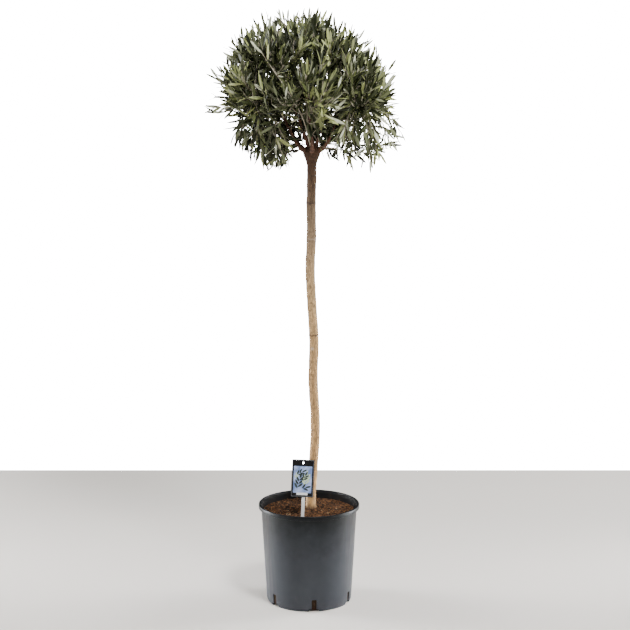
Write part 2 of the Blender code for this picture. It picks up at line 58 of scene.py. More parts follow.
def linked(name, data):
    """An object that holds the data, placed in the scene."""
    made = bpy.data.objects.new(name, data)
    bpy.context.scene.collection.objects.link(made)
    return made


def mesh_from(name, bm, *finishes):
    """A mesh with its materials, from a bmesh that is then freed."""
    mesh = bpy.data.meshes.new(name)
    bm.to_mesh(mesh)
    bm.free()
    for finish in finishes:
        mesh.materials.append(finish)
    return mesh


def new_material(name, colour, roughness, specular=0.5):
    """A material of one colour and gloss, with its node tree and its shader."""
    made = bpy.data.materials.new(name)
    made.use_nodes = True
    shader = made.node_tree.nodes["Principled BSDF"]
    shader.inputs["Base Color"].default_value = (*colour, 1)
    shader.inputs["Roughness"].default_value = roughness
    shader.inputs["Specular IOR Level"].default_value = specular
    return made, made.node_tree, shader


def node(tree, kind, inputs, **settings):
    """A new shader node's outputs. Each of its inputs is a value, or the output that feeds it."""
    made = tree.nodes.new("ShaderNode" + kind)
    for setting, value in settings.items():
        setattr(made, setting, value)
    for key, value in inputs.items():
        if isinstance(value, bpy.types.NodeSocket):
            tree.links.new(value, made.inputs[key])
        else:
            made.inputs[key].default_value = value
    return made.outputs


floor_bm = bmesh.new()
bmesh.ops.create_grid(floor_bm, x_segments=1, y_segments=1, size=1.0)
floor_size = Matrix.Diagonal((FLOOR_SIDE, (FLOOR_BACK - FLOOR_FRONT) / 2, 1, 1))
floor_middle = Matrix.Translation((0, (FLOOR_BACK + FLOOR_FRONT) / 2, 0))
bmesh.ops.transform(floor_bm, matrix=floor_middle @ floor_size, verts=floor_bm.verts)
pale_floor = new_material("pale_floor", (0.70, 0.665, 0.62), 0.75)[0]
floor = linked("floor", mesh_from("floor", floor_bm, pale_floor))

camera_data = bpy.data.cameras.new("camera")
camera_data.lens = CAMERA_LENS
camera_data.sensor_width = 36
camera = linked("camera", camera_data)
camera.location = CAMERA_PLACE
camera.rotation_euler = (math.pi / 2 - CAMERA_PITCH, 0, 0)
bpy.context.scene.camera = camera

world = bpy.data.worlds.new("white_studio")
bpy.context.scene.world = world
world.use_nodes = True
sky = world.node_tree
studio = sky.nodes["Background"]
studio.inputs["Color"].default_value = (1, 1, 1, 1)
studio.inputs["Strength"].default_value = STUDIO_LIGHT
backdrop = node(sky, "Background", {"Strength": BACKDROP_LIGHT})[0]
seen = node(sky, "LightPath", {})["Is Camera Ray"]
either = node(sky, "MixShader", {0: seen, 1: studio.outputs[0], 2: backdrop})[0]
sky.links.new(either, sky.nodes["World Output"].inputs[0])

# Each lamp's place, the height it is aimed at, its size, its power and its spread in degrees.
LAMPS = {
    "key": ((1.2, -2.1, 3.5), 0.9, 0.8, 215, 180),
    "fill": ((-2.4, -2.6, 1.2), 0.9, 1.6, 20, 180),
    "back_left": ((-2.3, 0.7, 1.6), 0.9, 1.3, 98, 180),
    "back_right": ((2.3, 0.9, 1.9), 0.9, 1.3, 92, 180),
    "low_left": ((-2.2, 0.65, 0.24), 0.13, 0.4, 4.5, 34),
    "low_right": ((2.2, 0.60, 0.24), 0.13, 0.4, 4.5, 34),
}
for name, (place, aim, size, power, spread) in LAMPS.items():
    lamp_data = bpy.data.lights.new(name, "AREA")
    lamp_data.size = size
    lamp_data.energy = power
    lamp_data.spread = math.radians(spread)
    lamp = linked(name, lamp_data)
    lamp.location = place
    lamp.rotation_euler = (Vector((0, 0, aim)) - lamp.location).to_track_quat("-Z", "Y").to_euler()

# Pot ------------------------------------------------------------------------------------------
# A 10 litre nursery pot, injection moulded in black plastic. It has a thin tapering wall, a
# rolled lip with a short skirt, and drains that are slots over gaps in the foot.

POT_RIM_RADIUS, POT_HEIGHT, POT_FOOT_RADIUS, POT_WALL = 0.125, 0.247, 0.105, 0.0016
LIP_DEPTH, BODY_TOP_RADIUS, BODY_TOP = 0.010, 0.1186, POT_HEIGHT - 0.006
FLOOR_THICK, FOOT_ROUND = 0.0024, 0.005
INNER_FOOT_RADIUS, INNER_TOP_RADIUS = POT_FOOT_RADIUS - POT_WALL, BODY_TOP_RADIUS - POT_WALL
DRAINS, DRAIN_TURN = 6, math.radians(-83)
DRAIN_WIDTH, DRAIN_TOP = 0.012, 0.031
FOOT_GAP_WIDTH, FOOT_GAP_HEIGHT, FOOT_GAP_DEPTH = 0.026, 0.0065, 0.012
POT_STEPS = 160
DRAIN_DEPTH, CUT_BELOW, CUT_ROUND, LIP_ROUND = 0.016, 0.002, 0.0015, 0.0012
# The pot's colour is painted darker towards the top, near black just under the lip, as painted shade of
# the lip and a painted dark reflection. It is lighter lower down. Dust noise makes it patchy, and the
# blue cast of the lighter tones is a painted reflection of the satin sheen.
PAINTED_SHADE_TOP, PAINTED_SHADE_BOTTOM, DUST_PATCHES = POT_HEIGHT + 0.004, 0.060, 0.45
SHADE_AND_DUST_TONES = (
    (0.05, (0.0016, 0.0018, 0.0022)),
    (0.60, (0.0250, 0.0278, 0.0345)),
    (1.00, (0.0310, 0.0345, 0.0425)),
)


def new_piece(name, bm, *finishes):
    """A finished piece from a bmesh, at the origin."""
    piece = linked(name, mesh_from(name, bm, *finishes))
    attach(piece, "root")
    return piece


def cut(piece, cutter):
    """Cuts the cutter's shape out of a piece."""
    opening = piece.modifiers.new("cut", "BOOLEAN")
    opening.operation = "DIFFERENCE"
    opening.object = cutter
    opening.solver = "EXACT"
    bpy.context.view_layer.objects.active = piece
    bpy.ops.object.modifier_apply(modifier=opening.name)


def soft_corners(points, radius, steps=3):
    """A profile whose corners are rounded off by short arcs."""
    line = [Vector(points[0])]
    for before, corner, after in zip(points, points[1:], points[2:]):
        before, corner, after = Vector(before), Vector(corner), Vector(after)
        back, on = before - corner, after - corner
        reach = min(radius, back.length * 0.45, on.length * 0.45)
        start, end = corner + back.normalized() * reach, corner + on.normalized() * reach
        for step in range(steps + 1):
            share = step / steps
            line.append(start.lerp(corner, share).lerp(corner.lerp(end, share), share))
    return [*line, Vector(points[-1])]


def turned(profile, steps):
    """A solid of revolution about the pot's axis, from a profile that starts and ends on it."""
    bm = bmesh.new()
    points = [bm.verts.new((radius, 0, height)) for radius, height in profile]
    edges = [bm.edges.new(pair) for pair in zip(points, points[1:])]
    bmesh.ops.spin(
        bm, geom=points + edges, cent=(0, 0, 0), axis=(0, 0, 1), angle=math.tau, steps=steps,
        use_merge=True,
    )
    bmesh.ops.remove_doubles(bm, verts=bm.verts, dist=0.00002)
    bmesh.ops.recalc_face_normals(bm, faces=bm.faces)
    return bm


pot_profile = [
    (0, FLOOR_THICK),
    (INNER_FOOT_RADIUS - FOOT_ROUND, FLOOR_THICK),
    (INNER_FOOT_RADIUS, FLOOR_THICK + FOOT_ROUND),
    (INNER_TOP_RADIUS, BODY_TOP),
    (INNER_TOP_RADIUS + 0.0015, POT_HEIGHT - 0.001),
    (INNER_TOP_RADIUS + 0.0030, POT_HEIGHT),
    (POT_RIM_RADIUS - 0.0005, POT_HEIGHT),
    (POT_RIM_RADIUS, POT_HEIGHT - LIP_DEPTH),
    (POT_RIM_RADIUS - 0.0014, POT_HEIGHT - LIP_DEPTH),
    (POT_RIM_RADIUS - 0.0016, POT_HEIGHT - 0.0028),
    (BODY_TOP_RADIUS + 0.0035, POT_HEIGHT - 0.0030),
    (BODY_TOP_RADIUS, BODY_TOP - 0.004),
    (POT_FOOT_RADIUS + 0.0003, 0.006),
    (POT_FOOT_RADIUS - 0.0025, 0),
    (0, 0),
]
pot = new_piece("nursery_pot", turned(soft_corners(pot_profile, LIP_ROUND), POT_STEPS))
for index in range(DRAINS):
    turn = Matrix.Rotation(DRAIN_TURN + index * math.tau / DRAINS, 4, "Z")
    for deep, wide, high in (
        (DRAIN_DEPTH, DRAIN_WIDTH, DRAIN_TOP),
        (FOOT_GAP_DEPTH * 2, FOOT_GAP_WIDTH, FOOT_GAP_HEIGHT),
    ):
        size = (deep, wide, high + CUT_BELOW)
        drain_bm = bmesh.new()
        place = turn @ Matrix.Translation((POT_FOOT_RADIUS, 0, size[2] / 2 - CUT_BELOW))
        bmesh.ops.create_cube(drain_bm, size=1, matrix=place @ Matrix.Diagonal((*size, 1)))
        upper = [e for e in drain_bm.edges if max(v.co.z for v in e.verts) > high / 2]
        bmesh.ops.bevel(
            drain_bm, geom=upper, offset=CUT_ROUND, segments=2, profile=0.5, affect="EDGES", material=-1
        )
        drain = linked("drain", mesh_from("drain", drain_bm))
        cut(pot, drain)
        bpy.data.objects.remove(drain)
pot.data.shade_smooth()
pot.data.set_sharp_from_angle(angle=math.radians(38))


def remapped(tree, value, start, end, low=0.0, high=1.0):
    """A value moved from the range start to end into the range low to high."""
    limits = {"From Min": start, "From Max": end, "To Min": low, "To Max": high}
    return node(tree, "MapRange", {"Value": value, **limits})[0]


def mixed(tree, share, first, second, blend="MIX"):
    """The second colour laid over the first by a share."""
    inputs = {"Factor": share, "A": first, "B": second}
    return node(tree, "Mix", inputs, data_type="RGBA", blend_type=blend)["Result"]


def toned(tree, share, stops):
    """The colour at a share along a row of stops, each of which is a share and a colour."""
    tone = tree.nodes.new("ShaderNodeValToRGB")
    marks = tone.color_ramp.elements
    marks[0].position, marks[1].position = stops[0][0], stops[-1][0]
    for position, _ in stops[1:-1]:
        marks.new(position)
    for mark, (_, colour) in zip(marks, stops):
        mark.color = (*colour, 1)
    tree.links.new(share, tone.inputs["Fac"])
    return tone.outputs[0]


def raised(tree, shader, height, strength, depth):
    """Gives a material relief from a height."""
    relief = node(tree, "Bump", {"Strength": strength, "Distance": depth, "Height": height})
    tree.links.new(relief[0], shader.inputs["Normal"])


# The flecks that many of the finishes share: noise that runs between a low and a high colour.
flecks = bpy.data.node_groups.new("flecks", "ShaderNodeTree")
for name in ("Scale", "Detail", "Roughness", "From", "To"):
    flecks.interface.new_socket(name, in_out="INPUT", socket_type="NodeSocketFloat")
for name in ("Low", "High"):
    flecks.interface.new_socket(name, in_out="INPUT", socket_type="NodeSocketColor")
flecks.interface.new_socket("Colour", in_out="OUTPUT", socket_type="NodeSocketColor")
flecks.interface.new_socket("Height", in_out="OUTPUT", socket_type="NodeSocketFloat")
given = flecks.nodes.new("NodeGroupInput").outputs
speckle_shape = {key: given[key] for key in ("Scale", "Detail", "Roughness")}
speckle_shape["Vector"] = node(flecks, "TexCoord", {})["Object"]
speckle = node(flecks, "TexNoise", speckle_shape)["Fac"]
share = remapped(flecks, speckle, given["From"], given["To"])
put_out = flecks.nodes.new("NodeGroupOutput").inputs
flecks.links.new(mixed(flecks, share, given["Low"], given["High"]), put_out["Colour"])
flecks.links.new(speckle, put_out["Height"])


def flecked(tree, shader, scale, detail, low, high, roughness=0.5, relief=None):
    """Gives a material flecks. Low and high are each a level of the noise and its colour."""
    values = {"Scale": scale, "Detail": detail, "Roughness": roughness}
    values |= {"From": low[0], "To": high[0], "Low": (*low[1], 1), "High": (*high[1], 1)}
    fleck = node(tree, "Group", values, node_tree=flecks)
    tree.links.new(fleck["Colour"], shader.inputs["Base Color"])
    if relief:
        raised(tree, shader, fleck["Height"], *relief)


moulded_black, tree, shader = new_material("moulded_black", (0.016, 0.0165, 0.018), 0.42, 0.23)
shader.inputs["Specular Tint"].default_value = (0.88, 0.94, 1.0, 1)
at = node(tree, "TexCoord", {})["Object"]
upright = node(tree, "Mapping", {"Vector": at, "Scale": (1, 1, 0.05)})[0]
streaks = node(tree, "TexNoise", {"Vector": upright, "Scale": 150, "Detail": 4})["Fac"]
dust = node(tree, "TexNoise", {"Vector": at, "Scale": 22, "Detail": 6, "Roughness": 0.65})["Fac"]
tree.links.new(remapped(tree, streaks, 0.3, 0.7, 0.34, 0.52), shader.inputs["Roughness"])
# Painted shade and dust: darker towards the top of the pot, in patches.
height = node(tree, "SeparateXYZ", {"Vector": at})["Z"]
painted_light_by_height = remapped(tree, height, PAINTED_SHADE_TOP, PAINTED_SHADE_BOTTOM)
patches = {0: dust, 1: DUST_PATCHES, 2: -DUST_PATCHES / 2}
patchy = node(tree, "Math", patches, operation="MULTIPLY_ADD")[0]
shade_and_dust = node(tree, "Math", {0: painted_light_by_height, 1: patchy}, operation="ADD")[0]
tree.links.new(toned(tree, shade_and_dust, SHADE_AND_DUST_TONES), shader.inputs["Base Color"])
raised(tree, shader, streaks, 0.12, 0.0006)
pot.data.materials.append(moulded_black)
# Inside the pot the plastic is painted much darker, as painted shade in the pot's hollow, with brown
# flecks of compost stain.
shaded_and_stained_black, tree, shader = new_material("moulded_black_inside", (0.004, 0.004, 0.004), 0.75, 0.18)
flecked(tree, shader, 60, 5, (0.45, (0.0035, 0.0035, 0.0038)), (0.75, (0.0150, 0.0110, 0.0080)))
pot.data.materials.append(shaded_and_stained_black)
for face in pot.data.polygons:
    inward = face.normal.xy.dot(face.center.xy) < -0.5 * face.center.xy.length
    face.material_index = int(inward and face.center.z < POT_HEIGHT - 0.002)
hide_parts("pot")

# Compost --------------------------------------------------------------------------------------
# Moist brown compost with bark chips, heaped slightly at the stem. The bed is one piece that
# fills the pot, and the crumbs and chips that lie on it are another.

COMPOST_EDGE = POT_HEIGHT - 0.020
MOUND_TOP = COMPOST_EDGE + 0.008
SEAT_GAP = 0.0003
# The heap's outline, as distances from the pot's axis and heights.
HEAP = (
    (0, MOUND_TOP),
    (0.022, MOUND_TOP),
    (0.048, MOUND_TOP - 0.0035),
    (0.085, COMPOST_EDGE + 0.001),
    (0.120, COMPOST_EDGE),
)
BED_RINGS, BED_STEPS = 60, 160
CLOD_SCALE, CLOD_HEIGHT, SWELL_SCALE, SWELL_HEIGHT = 130, 0.0016, 35, 0.0015
WALL_FADE, WALL_RISE = 0.004, 0.3
CRUMBS, CHIPS = 3200, 260
CRUMB_SIZES, CHIP_SIZES = (0.0010, 0.0030), (0.003, 0.008)
CRUMB_FORMS, CHIP_FORMS = 4, 3
CRUMB_STRETCH, CHIP_STRETCH, LUMP_RADII = (1, 0.8, 0.7), (1, 0.35, 0.2), (0.65, 1.2)
CRUMB_TILTS, CHIP_TILTS = (0, 6), (-0.5, 0.5)
CRUMB_REACH, CRUMB_RISE = 0.985, 0.25
STEM_SPOT, STEM_CLEAR, STEM_CLEAR_SHARE = Vector((0.005, 0)), 0.0136, 0.6
# Each tone's colour, and its weight among the crumbs.
COMPOST_TONES = {
    "compost_dark": ((0.022, 0.011, 0.005), 60),
    "compost_brown": ((0.080, 0.035, 0.013), 24),
    "compost_rust": ((0.150, 0.070, 0.028), 15),
    "compost_pale": ((0.290, 0.200, 0.115), 1),
}


def bed_height(radius):
    """The height of the compost at a distance from the pot's axis."""
    for (near, high), (far, low) in zip(HEAP, HEAP[1:]):
        if radius <= far:
            return high + (low - high) * (radius - near) / (far - near)
    return COMPOST_EDGE


wall_share = (COMPOST_EDGE - FLOOR_THICK - FOOT_ROUND) / (BODY_TOP - FLOOR_THICK - FOOT_ROUND)
bed_radius = INNER_FOOT_RADIUS + wall_share * (INNER_TOP_RADIUS - INNER_FOOT_RADIUS) - SEAT_GAP
bed_rings = [bed_radius * step / BED_RINGS for step in range(BED_RINGS + 1)]
bed_profile = [(radius, bed_height(radius)) for radius in bed_rings]
bed_profile += [
    (INNER_FOOT_RADIUS - SEAT_GAP, FLOOR_THICK + FOOT_ROUND),
    (INNER_FOOT_RADIUS - FOOT_ROUND - SEAT_GAP, FLOOR_THICK + SEAT_GAP),
    (0, FLOOR_THICK + SEAT_GAP),
]
bed_bm = turned(bed_profile, BED_STEPS)
for vert in bed_bm.verts:
    if vert.co.z > COMPOST_EDGE - 0.001:
        rise = noise.fractal(vert.co * CLOD_SCALE, 1.0, 2.0, 4) * CLOD_HEIGHT
        rise += noise.noise(vert.co * SWELL_SCALE) * SWELL_HEIGHT
        vert.co.z += rise * min(1, (bed_radius - vert.co.xy.length) / WALL_FADE + WALL_RISE)
bmesh.ops.recalc_face_normals(bed_bm, faces=bed_bm.faces)
bed = new_piece("compost_bed", bed_bm)
bed.data.shade_smooth()


def joined(name, templates, choices, places, indices, finishes):
    """Copies of small shapes as one mesh. Each has its template, its place and its material."""
    points, faces, marks = [], [], []
    start = 0
    for kind, template in enumerate(templates):
        chosen = [i for i, choice in enumerate(choices) if choice == kind]
        if not chosen:
            continue
        mats = np.array([places[i] for i in chosen])
        base = np.array([vert.co for vert in template.verts])
        sides = np.array([face.material_index for face in template.faces])
        template.verts.index_update()
        corners = np.array([[vert.index for vert in face.verts] for face in template.faces])
        moved = np.einsum("nij,kj->nki", mats[:, :3, :3], base) + mats[:, None, :3, 3]
        points.append(moved.reshape(-1, 3))
        offsets = start + np.arange(len(chosen)) * len(base)
        faces.append((corners[None] + offsets[:, None, None]).reshape(-1, corners.shape[1]))
        marks.append((np.array([indices[i] for i in chosen])[:, None] + sides[None]).reshape(-1))
        start += len(chosen) * len(base)
    mesh = bpy.data.meshes.new(name)
    mesh.from_pydata(np.concatenate(points).tolist(), [], np.concatenate(faces).tolist())
    for finish in finishes:
        mesh.materials.append(finish)
    mesh.polygons.foreach_set("material_index", np.concatenate(marks).astype(np.int32))
    mesh.update()
    piece = linked(name, mesh)
    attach(piece, "root")
    return piece


def crumb_template(rng, stretch):
    """A little uneven lump."""
    bm = bmesh.new()
    bmesh.ops.create_icosphere(bm, subdivisions=1, radius=1)
    for vert in bm.verts:
        vert.co *= rng.uniform(*LUMP_RADII)
    bmesh.ops.scale(bm, vec=stretch, verts=bm.verts)
    return bm


rng = random.Random(11)
lumps = [crumb_template(rng, CRUMB_STRETCH) for _ in range(CRUMB_FORMS)]
lumps += [crumb_template(rng, CHIP_STRETCH) for _ in range(CHIP_FORMS)]
tone_weights = [weight for _, weight in COMPOST_TONES.values()]
kinds, places, tints = [], [], []
for index in range(CRUMBS + CHIPS):
    chip = index >= CRUMBS
    radius = bed_radius * CRUMB_REACH * math.sqrt(rng.random())
    angle = rng.uniform(0, math.tau)
    spot = Vector((radius * math.cos(angle), radius * math.sin(angle), 0))
    size = rng.uniform(*CHIP_SIZES) / 2 if chip else rng.uniform(*CRUMB_SIZES)
    at_stem = (spot.xy - STEM_SPOT).length < STEM_CLEAR + size * STEM_CLEAR_SHARE
    if at_stem or spot.length + size > bed_radius:
        continue
    spot.z = bed_height(radius) + size * CRUMB_RISE
    tilt = Matrix.Rotation(rng.uniform(*(CHIP_TILTS if chip else CRUMB_TILTS)), 4, "X")
    turn = Matrix.Rotation(rng.uniform(0, math.tau), 4, "Z")
    first, last = (CRUMB_FORMS, len(lumps) - 1) if chip else (0, CRUMB_FORMS - 1)
    kinds.append(rng.randint(first, last))
    places.append(Matrix.Translation(spot) @ turn @ tilt @ Matrix.Scale(size, 4))
    tints.append(rng.choices(range(len(COMPOST_TONES)), tone_weights)[0])


def shaded(colour, share):
    """The colour, made lighter or darker by a share."""
    return [share * c for c in colour]


compost_finishes = []
for name, (colour, _) in COMPOST_TONES.items():
    finish, tree, shader = new_material(name, colour, 0.92, 0.2)
    low, high = (0.3, shaded(colour, 0.45)), (0.7, shaded(colour, 1.4))
    flecked(tree, shader, 420, 4, low, high, relief=(0.5, 0.0006))
    compost_finishes.append(finish)
bed.data.materials.append(compost_finishes[1])
bed.data.materials.append(compost_finishes[0])
for face in bed.data.polygons:
    face.material_index = int(face.center.z < COMPOST_EDGE - 0.004)
crumbs = joined("compost_crumbs", lumps, kinds, places, tints, compost_finishes)
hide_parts("compost")

# Plant label ----------------------------------------------------------------------------------
# A glossy printed card with round corners and a punched hole, pinned to a white plastic stake
# that is pushed into the compost. The print is a blue panel with leaf sprays and a white bar, on
# black, inside a fine grey line.

LABEL_FOOT = Vector((-0.016, -0.070, 0.226))
LABEL_ROLL, LABEL_LEAN = math.radians(2.7), math.radians(-5)
CARD_WIDTH, CARD_HEIGHT, CARD_THICK = 0.055, 0.093, 0.0009
CARD_FOOT, CARD_SHIFT = 0.055, -0.004
STAKE_WIDTH, STAKE_THICK, STAKE_FOOT, STAKE_TOP = 0.0078, 0.0013, -0.045, CARD_FOOT + 0.020
STAKE_BACK = (CARD_THICK + STAKE_THICK) / 2 + SEAT_GAP
HOLE_RADIUS, HOLE_DROP, PUNCH_LENGTH = 0.0025, 0.0085, 0.01
PRINT_THICK, PRINT_GAP = 0.00006, 0.00002
CARD_CORNER, STAKE_CORNER, EDGE_ROUND = 0.002, 0.001, 0.0002
PANEL_WIDTH, PANEL_HEIGHT, PANEL_RISE = 0.0445, 0.066, -0.003
SPRAY_GAP, SPRAY_STAGGER, SPRAY_LEAN, SPRAY_ASPECT = 0.55, 0.2, math.radians(40), 0.34
label_lean = Matrix.Rotation(LABEL_LEAN, 4, "X") @ Matrix.Rotation(LABEL_ROLL, 4, "Y")
label_place = Matrix.Translation(LABEL_FOOT) @ label_lean


def rounded_slab(width, height, thick, corner, middle, edge=0.0):
    """A flat plate with round corners, whose broad sides face -Y and +Y."""
    bm = bmesh.new()
    bmesh.ops.create_cube(bm, size=1, matrix=Matrix.Diagonal((width, thick, height, 1)))
    sides = [e for e in bm.edges if abs(e.verts[0].co.y - e.verts[1].co.y) > thick / 2]
    bmesh.ops.bevel(bm, geom=sides, offset=corner, segments=5, profile=0.5, affect="EDGES", material=-1)
    if edge:
        rims = [e for e in bm.edges if abs(e.verts[0].co.y - e.verts[1].co.y) < thick / 2]
        bmesh.ops.bevel(bm, geom=rims, offset=edge, segments=1, profile=0.5, affect="EDGES", material=-1)
    bmesh.ops.translate(bm, vec=middle, verts=bm.verts)
    bmesh.ops.transform(bm, matrix=label_place, verts=bm.verts)
    bmesh.ops.recalc_face_normals(bm, faces=bm.faces)
    return bm


card_middle = Vector((CARD_SHIFT, 0, CARD_FOOT + CARD_HEIGHT / 2))
gloss_black = new_material("card_black", (0.004, 0.004, 0.005), 0.30, 0.22)[0]
card_shape = rounded_slab(CARD_WIDTH, CARD_HEIGHT, CARD_THICK, CARD_CORNER, card_middle, EDGE_ROUND)
card = new_piece("label_card_print", card_shape, gloss_black)
hole_place = label_place @ Matrix.Translation((CARD_SHIFT, 0, CARD_FOOT + CARD_HEIGHT - HOLE_DROP))
punch_bm = bmesh.new()
bmesh.ops.create_cone(
    punch_bm, cap_ends=True, segments=32, radius1=HOLE_RADIUS, radius2=HOLE_RADIUS,
    depth=PUNCH_LENGTH, matrix=hole_place @ Matrix.Rotation(math.pi / 2, 4, "X"),
)
punch = linked("punch", mesh_from("punch", punch_bm))
cut(card, punch)
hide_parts("label_card")

sky_print, tree, shader = new_material("print_sky_blue", (0.22, 0.40, 0.62), 0.35)
flecked(tree, shader, 60, 3, (0.38, (0.13, 0.20, 0.42)), (0.62, (0.40, 0.50, 0.78)))
frame_grey = new_material("print_grey", (0.30, 0.31, 0.33), 0.35)[0]
leaf_print = new_material("print_leaf", (0.008, 0.020, 0.016), 0.35)[0]
pale_print = new_material("print_leaf_pale", (0.50, 0.62, 0.42), 0.35)[0]
white_print = new_material("print_white", (0.78, 0.79, 0.80), 0.35)[0]


def print_layer(level):
    """How far a layer of ink stands in front of the card, so that no two coincide."""
    return -CARD_THICK / 2 - PRINT_THICK * (level + 0.5) - PRINT_GAP * level


# Each print's width, height, corner, rise from the card's middle, layer and ink.
PRINTS = {
    "print_frame": (0.0525, 0.0900, 0.0015, 0, 0, frame_grey),
    "print_ground": (0.0515, 0.0890, 0.0015, 0, 1, gloss_black),
    "print_panel": (PANEL_WIDTH, PANEL_HEIGHT, 0.001, PANEL_RISE, 2, sky_print),
    "print_bar": (0.027, 0.0060, 0.0008, -0.0385, 5, white_print),
}
for name, (width, height, corner, rise, level, finish) in PRINTS.items():
    middle = card_middle + Vector((0, print_layer(level), rise))
    ink = new_piece(name, rounded_slab(width, height, PRINT_THICK, corner, middle), finish)
    if height > PANEL_HEIGHT:
        cut(ink, punch)
bpy.data.objects.remove(punch)


def printed_spray(name, foot, lean, pairs, size, level, finish):
    """A printed spray: pairs of pointed leaves on a fine stalk, as a thin layer of ink."""
    bm = bmesh.new()
    root = card_middle + Vector((foot[0], print_layer(level), PANEL_RISE + foot[1]))
    root_place = label_place @ Matrix.Translation(root) @ Matrix.Rotation(math.radians(lean), 4, "Y")
    flat = Matrix.Rotation(math.pi / 2, 4, "X")
    spots = [
        (side, (SPRAY_GAP * pair + (SPRAY_STAGGER if side > 0 else 0)) * size)
        for pair in range(pairs)
        for side in (-1, 1)
    ]
    for side, along in [*spots, (0, SPRAY_GAP * pairs * size)]:
        leaf_place = (
            Matrix.Translation((0, 0, along))
            @ Matrix.Rotation(side * SPRAY_LEAN, 4, "Y")
            @ Matrix.Translation((0, 0, size / 2))
        )
        petal = bmesh.ops.create_circle(bm, cap_ends=True, segments=10, radius=0.5)
        shape = Matrix.Diagonal((size * SPRAY_ASPECT, 1, size, 1)) @ flat
        bmesh.ops.transform(bm, matrix=root_place @ leaf_place @ shape, verts=petal["verts"])
    bmesh.ops.solidify(bm, geom=bm.faces[:], thickness=PRINT_THICK / 4)
    bmesh.ops.recalc_face_normals(bm, faces=bm.faces)
    new_piece(name, bm, finish)


# Each spray's foot, lean in degrees, pairs of leaves, leaf length, layer and ink.
SPRAYS = {
    "print_spray_low": ((-0.012, -0.022), 12, 3, 0.0155, 3.0, leaf_print),
    "print_spray_pale": ((0.007, -0.013), 6, 3, 0.0135, 3.4, pale_print),
    "print_spray_right": ((0.000, -0.022), 74, 1, 0.0140, 3.8, leaf_print),
    "print_spray_high": ((-0.014, 0.012), 62, 2, 0.0125, 4.2, leaf_print),
    "print_spray_left": ((-0.015, 0.004), -2, 1, 0.0085, 3.2, pale_print),
    "print_spray_over": ((0.001, -0.003), 24, 2, 0.0120, 4.6, leaf_print),
}
for name, spray in SPRAYS.items():
    printed_spray(name, *spray)

white_plastic = new_material("stake_white", (0.80, 0.80, 0.78), 0.35)[0]
stake_middle = (0, STAKE_BACK, (STAKE_TOP + STAKE_FOOT) / 2)
stake_length = STAKE_TOP - STAKE_FOOT
stake_shape = rounded_slab(
    STAKE_WIDTH, stake_length, STAKE_THICK, STAKE_CORNER, stake_middle, EDGE_ROUND
)
stake = new_piece("white_stake", stake_shape, white_plastic)
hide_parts("label_stake")

# Trunk ----------------------------------------------------------------------------------------
# A single bare stem with a few slow waves, trained up to a knob where the head was once cut back.
# The bark is pale grey-brown and finely cracked, darker at the top, with rings and small knots
# where side shoots were taken off.

UP = Vector((0, 0, 1))
FORK = Vector((0.007, 0.0, 1.118))
TRUNK_RADIUS, FLARE_RADIUS, FLARE_HEIGHT = 0.0118, 0.0136, 0.035
TRUNK_FOOT = MOUND_TOP + SEAT_GAP
TRUNK_WAVES = (
    (0.005, 0.000, TRUNK_FOOT),
    (0.005, 0.000, 0.270),
    (0.010, 0.002, 0.334),
    (0.015, 0.003, 0.413),
    (0.015, 0.002, 0.474),
    (0.010, -0.001, 0.565),
    (0.0125, -0.002, 0.655),
    (0.0075, 0.000, 0.744),
    (0.003, 0.002, 0.833),
    (0.0065, 0.002, 0.921),
    (0.0055, 0.000, 0.990),
    (0.007, 0.000, 1.060),
)
# The knob, as rises from the fork and radii.
KNOB = (
    (-0.030, 0.0121),
    (-0.018, 0.0150),
    (-0.006, 0.0203),
    (0.004, 0.0232),
    (0.011, 0.0205),
    (0.015, 0.0130),
)
# Height, width and darkness of each ring. The last is painted shade at the stem's foot, where it meets
# the compost. A darkness below 0 is pale, here and in the knots.
SCAR_RINGS_AND_FOOT_SHADE = (
    (0.997, 0.0026, 1.0),
    (0.673, 0.0022, 0.9),
    (0.909, 0.0014, -0.3),
    (0.790, 0.0020, 0.35),
    # Painted shade where the stem goes into the compost.
    (TRUNK_FOOT, 0.0090, 0.75),
)
# Height, angle around the stem in degrees, width and darkness of each knot.
KNOTS = (
    (0.969, 10, 0.0045, 0.9),
    (0.469, 5, 0.0045, 0.8),
    (0.550, 185, 0.0060, 0.8),
    (0.640, 250, 0.0035, -0.8),
    (0.745, 300, 0.0040, 0.6),
    (0.360, 230, 0.0040, 0.6),
    (0.860, 200, 0.0040, 0.6),
    (0.600, 60, 0.0050, 0.8),
    (0.800, 120, 0.0050, 0.8),
    (0.420, 110, 0.0050, 0.8),
)
BARK_STEP, BARK_SIDES = 0.0017, 56
# Each layer of cracks: its scale, its shift and its share of the depth.
BARK_CRACKS, CRACK_STRETCH, CRACK_DEPTH = ((330, 0, 0.7), (700, 9, 0.3)), 0.16, 0.00042
# Each layer of lumps: its scale around and along the stem, its shift and its height.
BARK_LUMPS = ((1.2, 28, 0, 0.0007), (3, 90, 7, 0.0003))
RING_WANDER, RING_RISE, KNOT_RISE, DIMPLE_SHARE, MOST_SWELL = 0.0025, 0.0005, 0.0011, 0.4, 0.0016
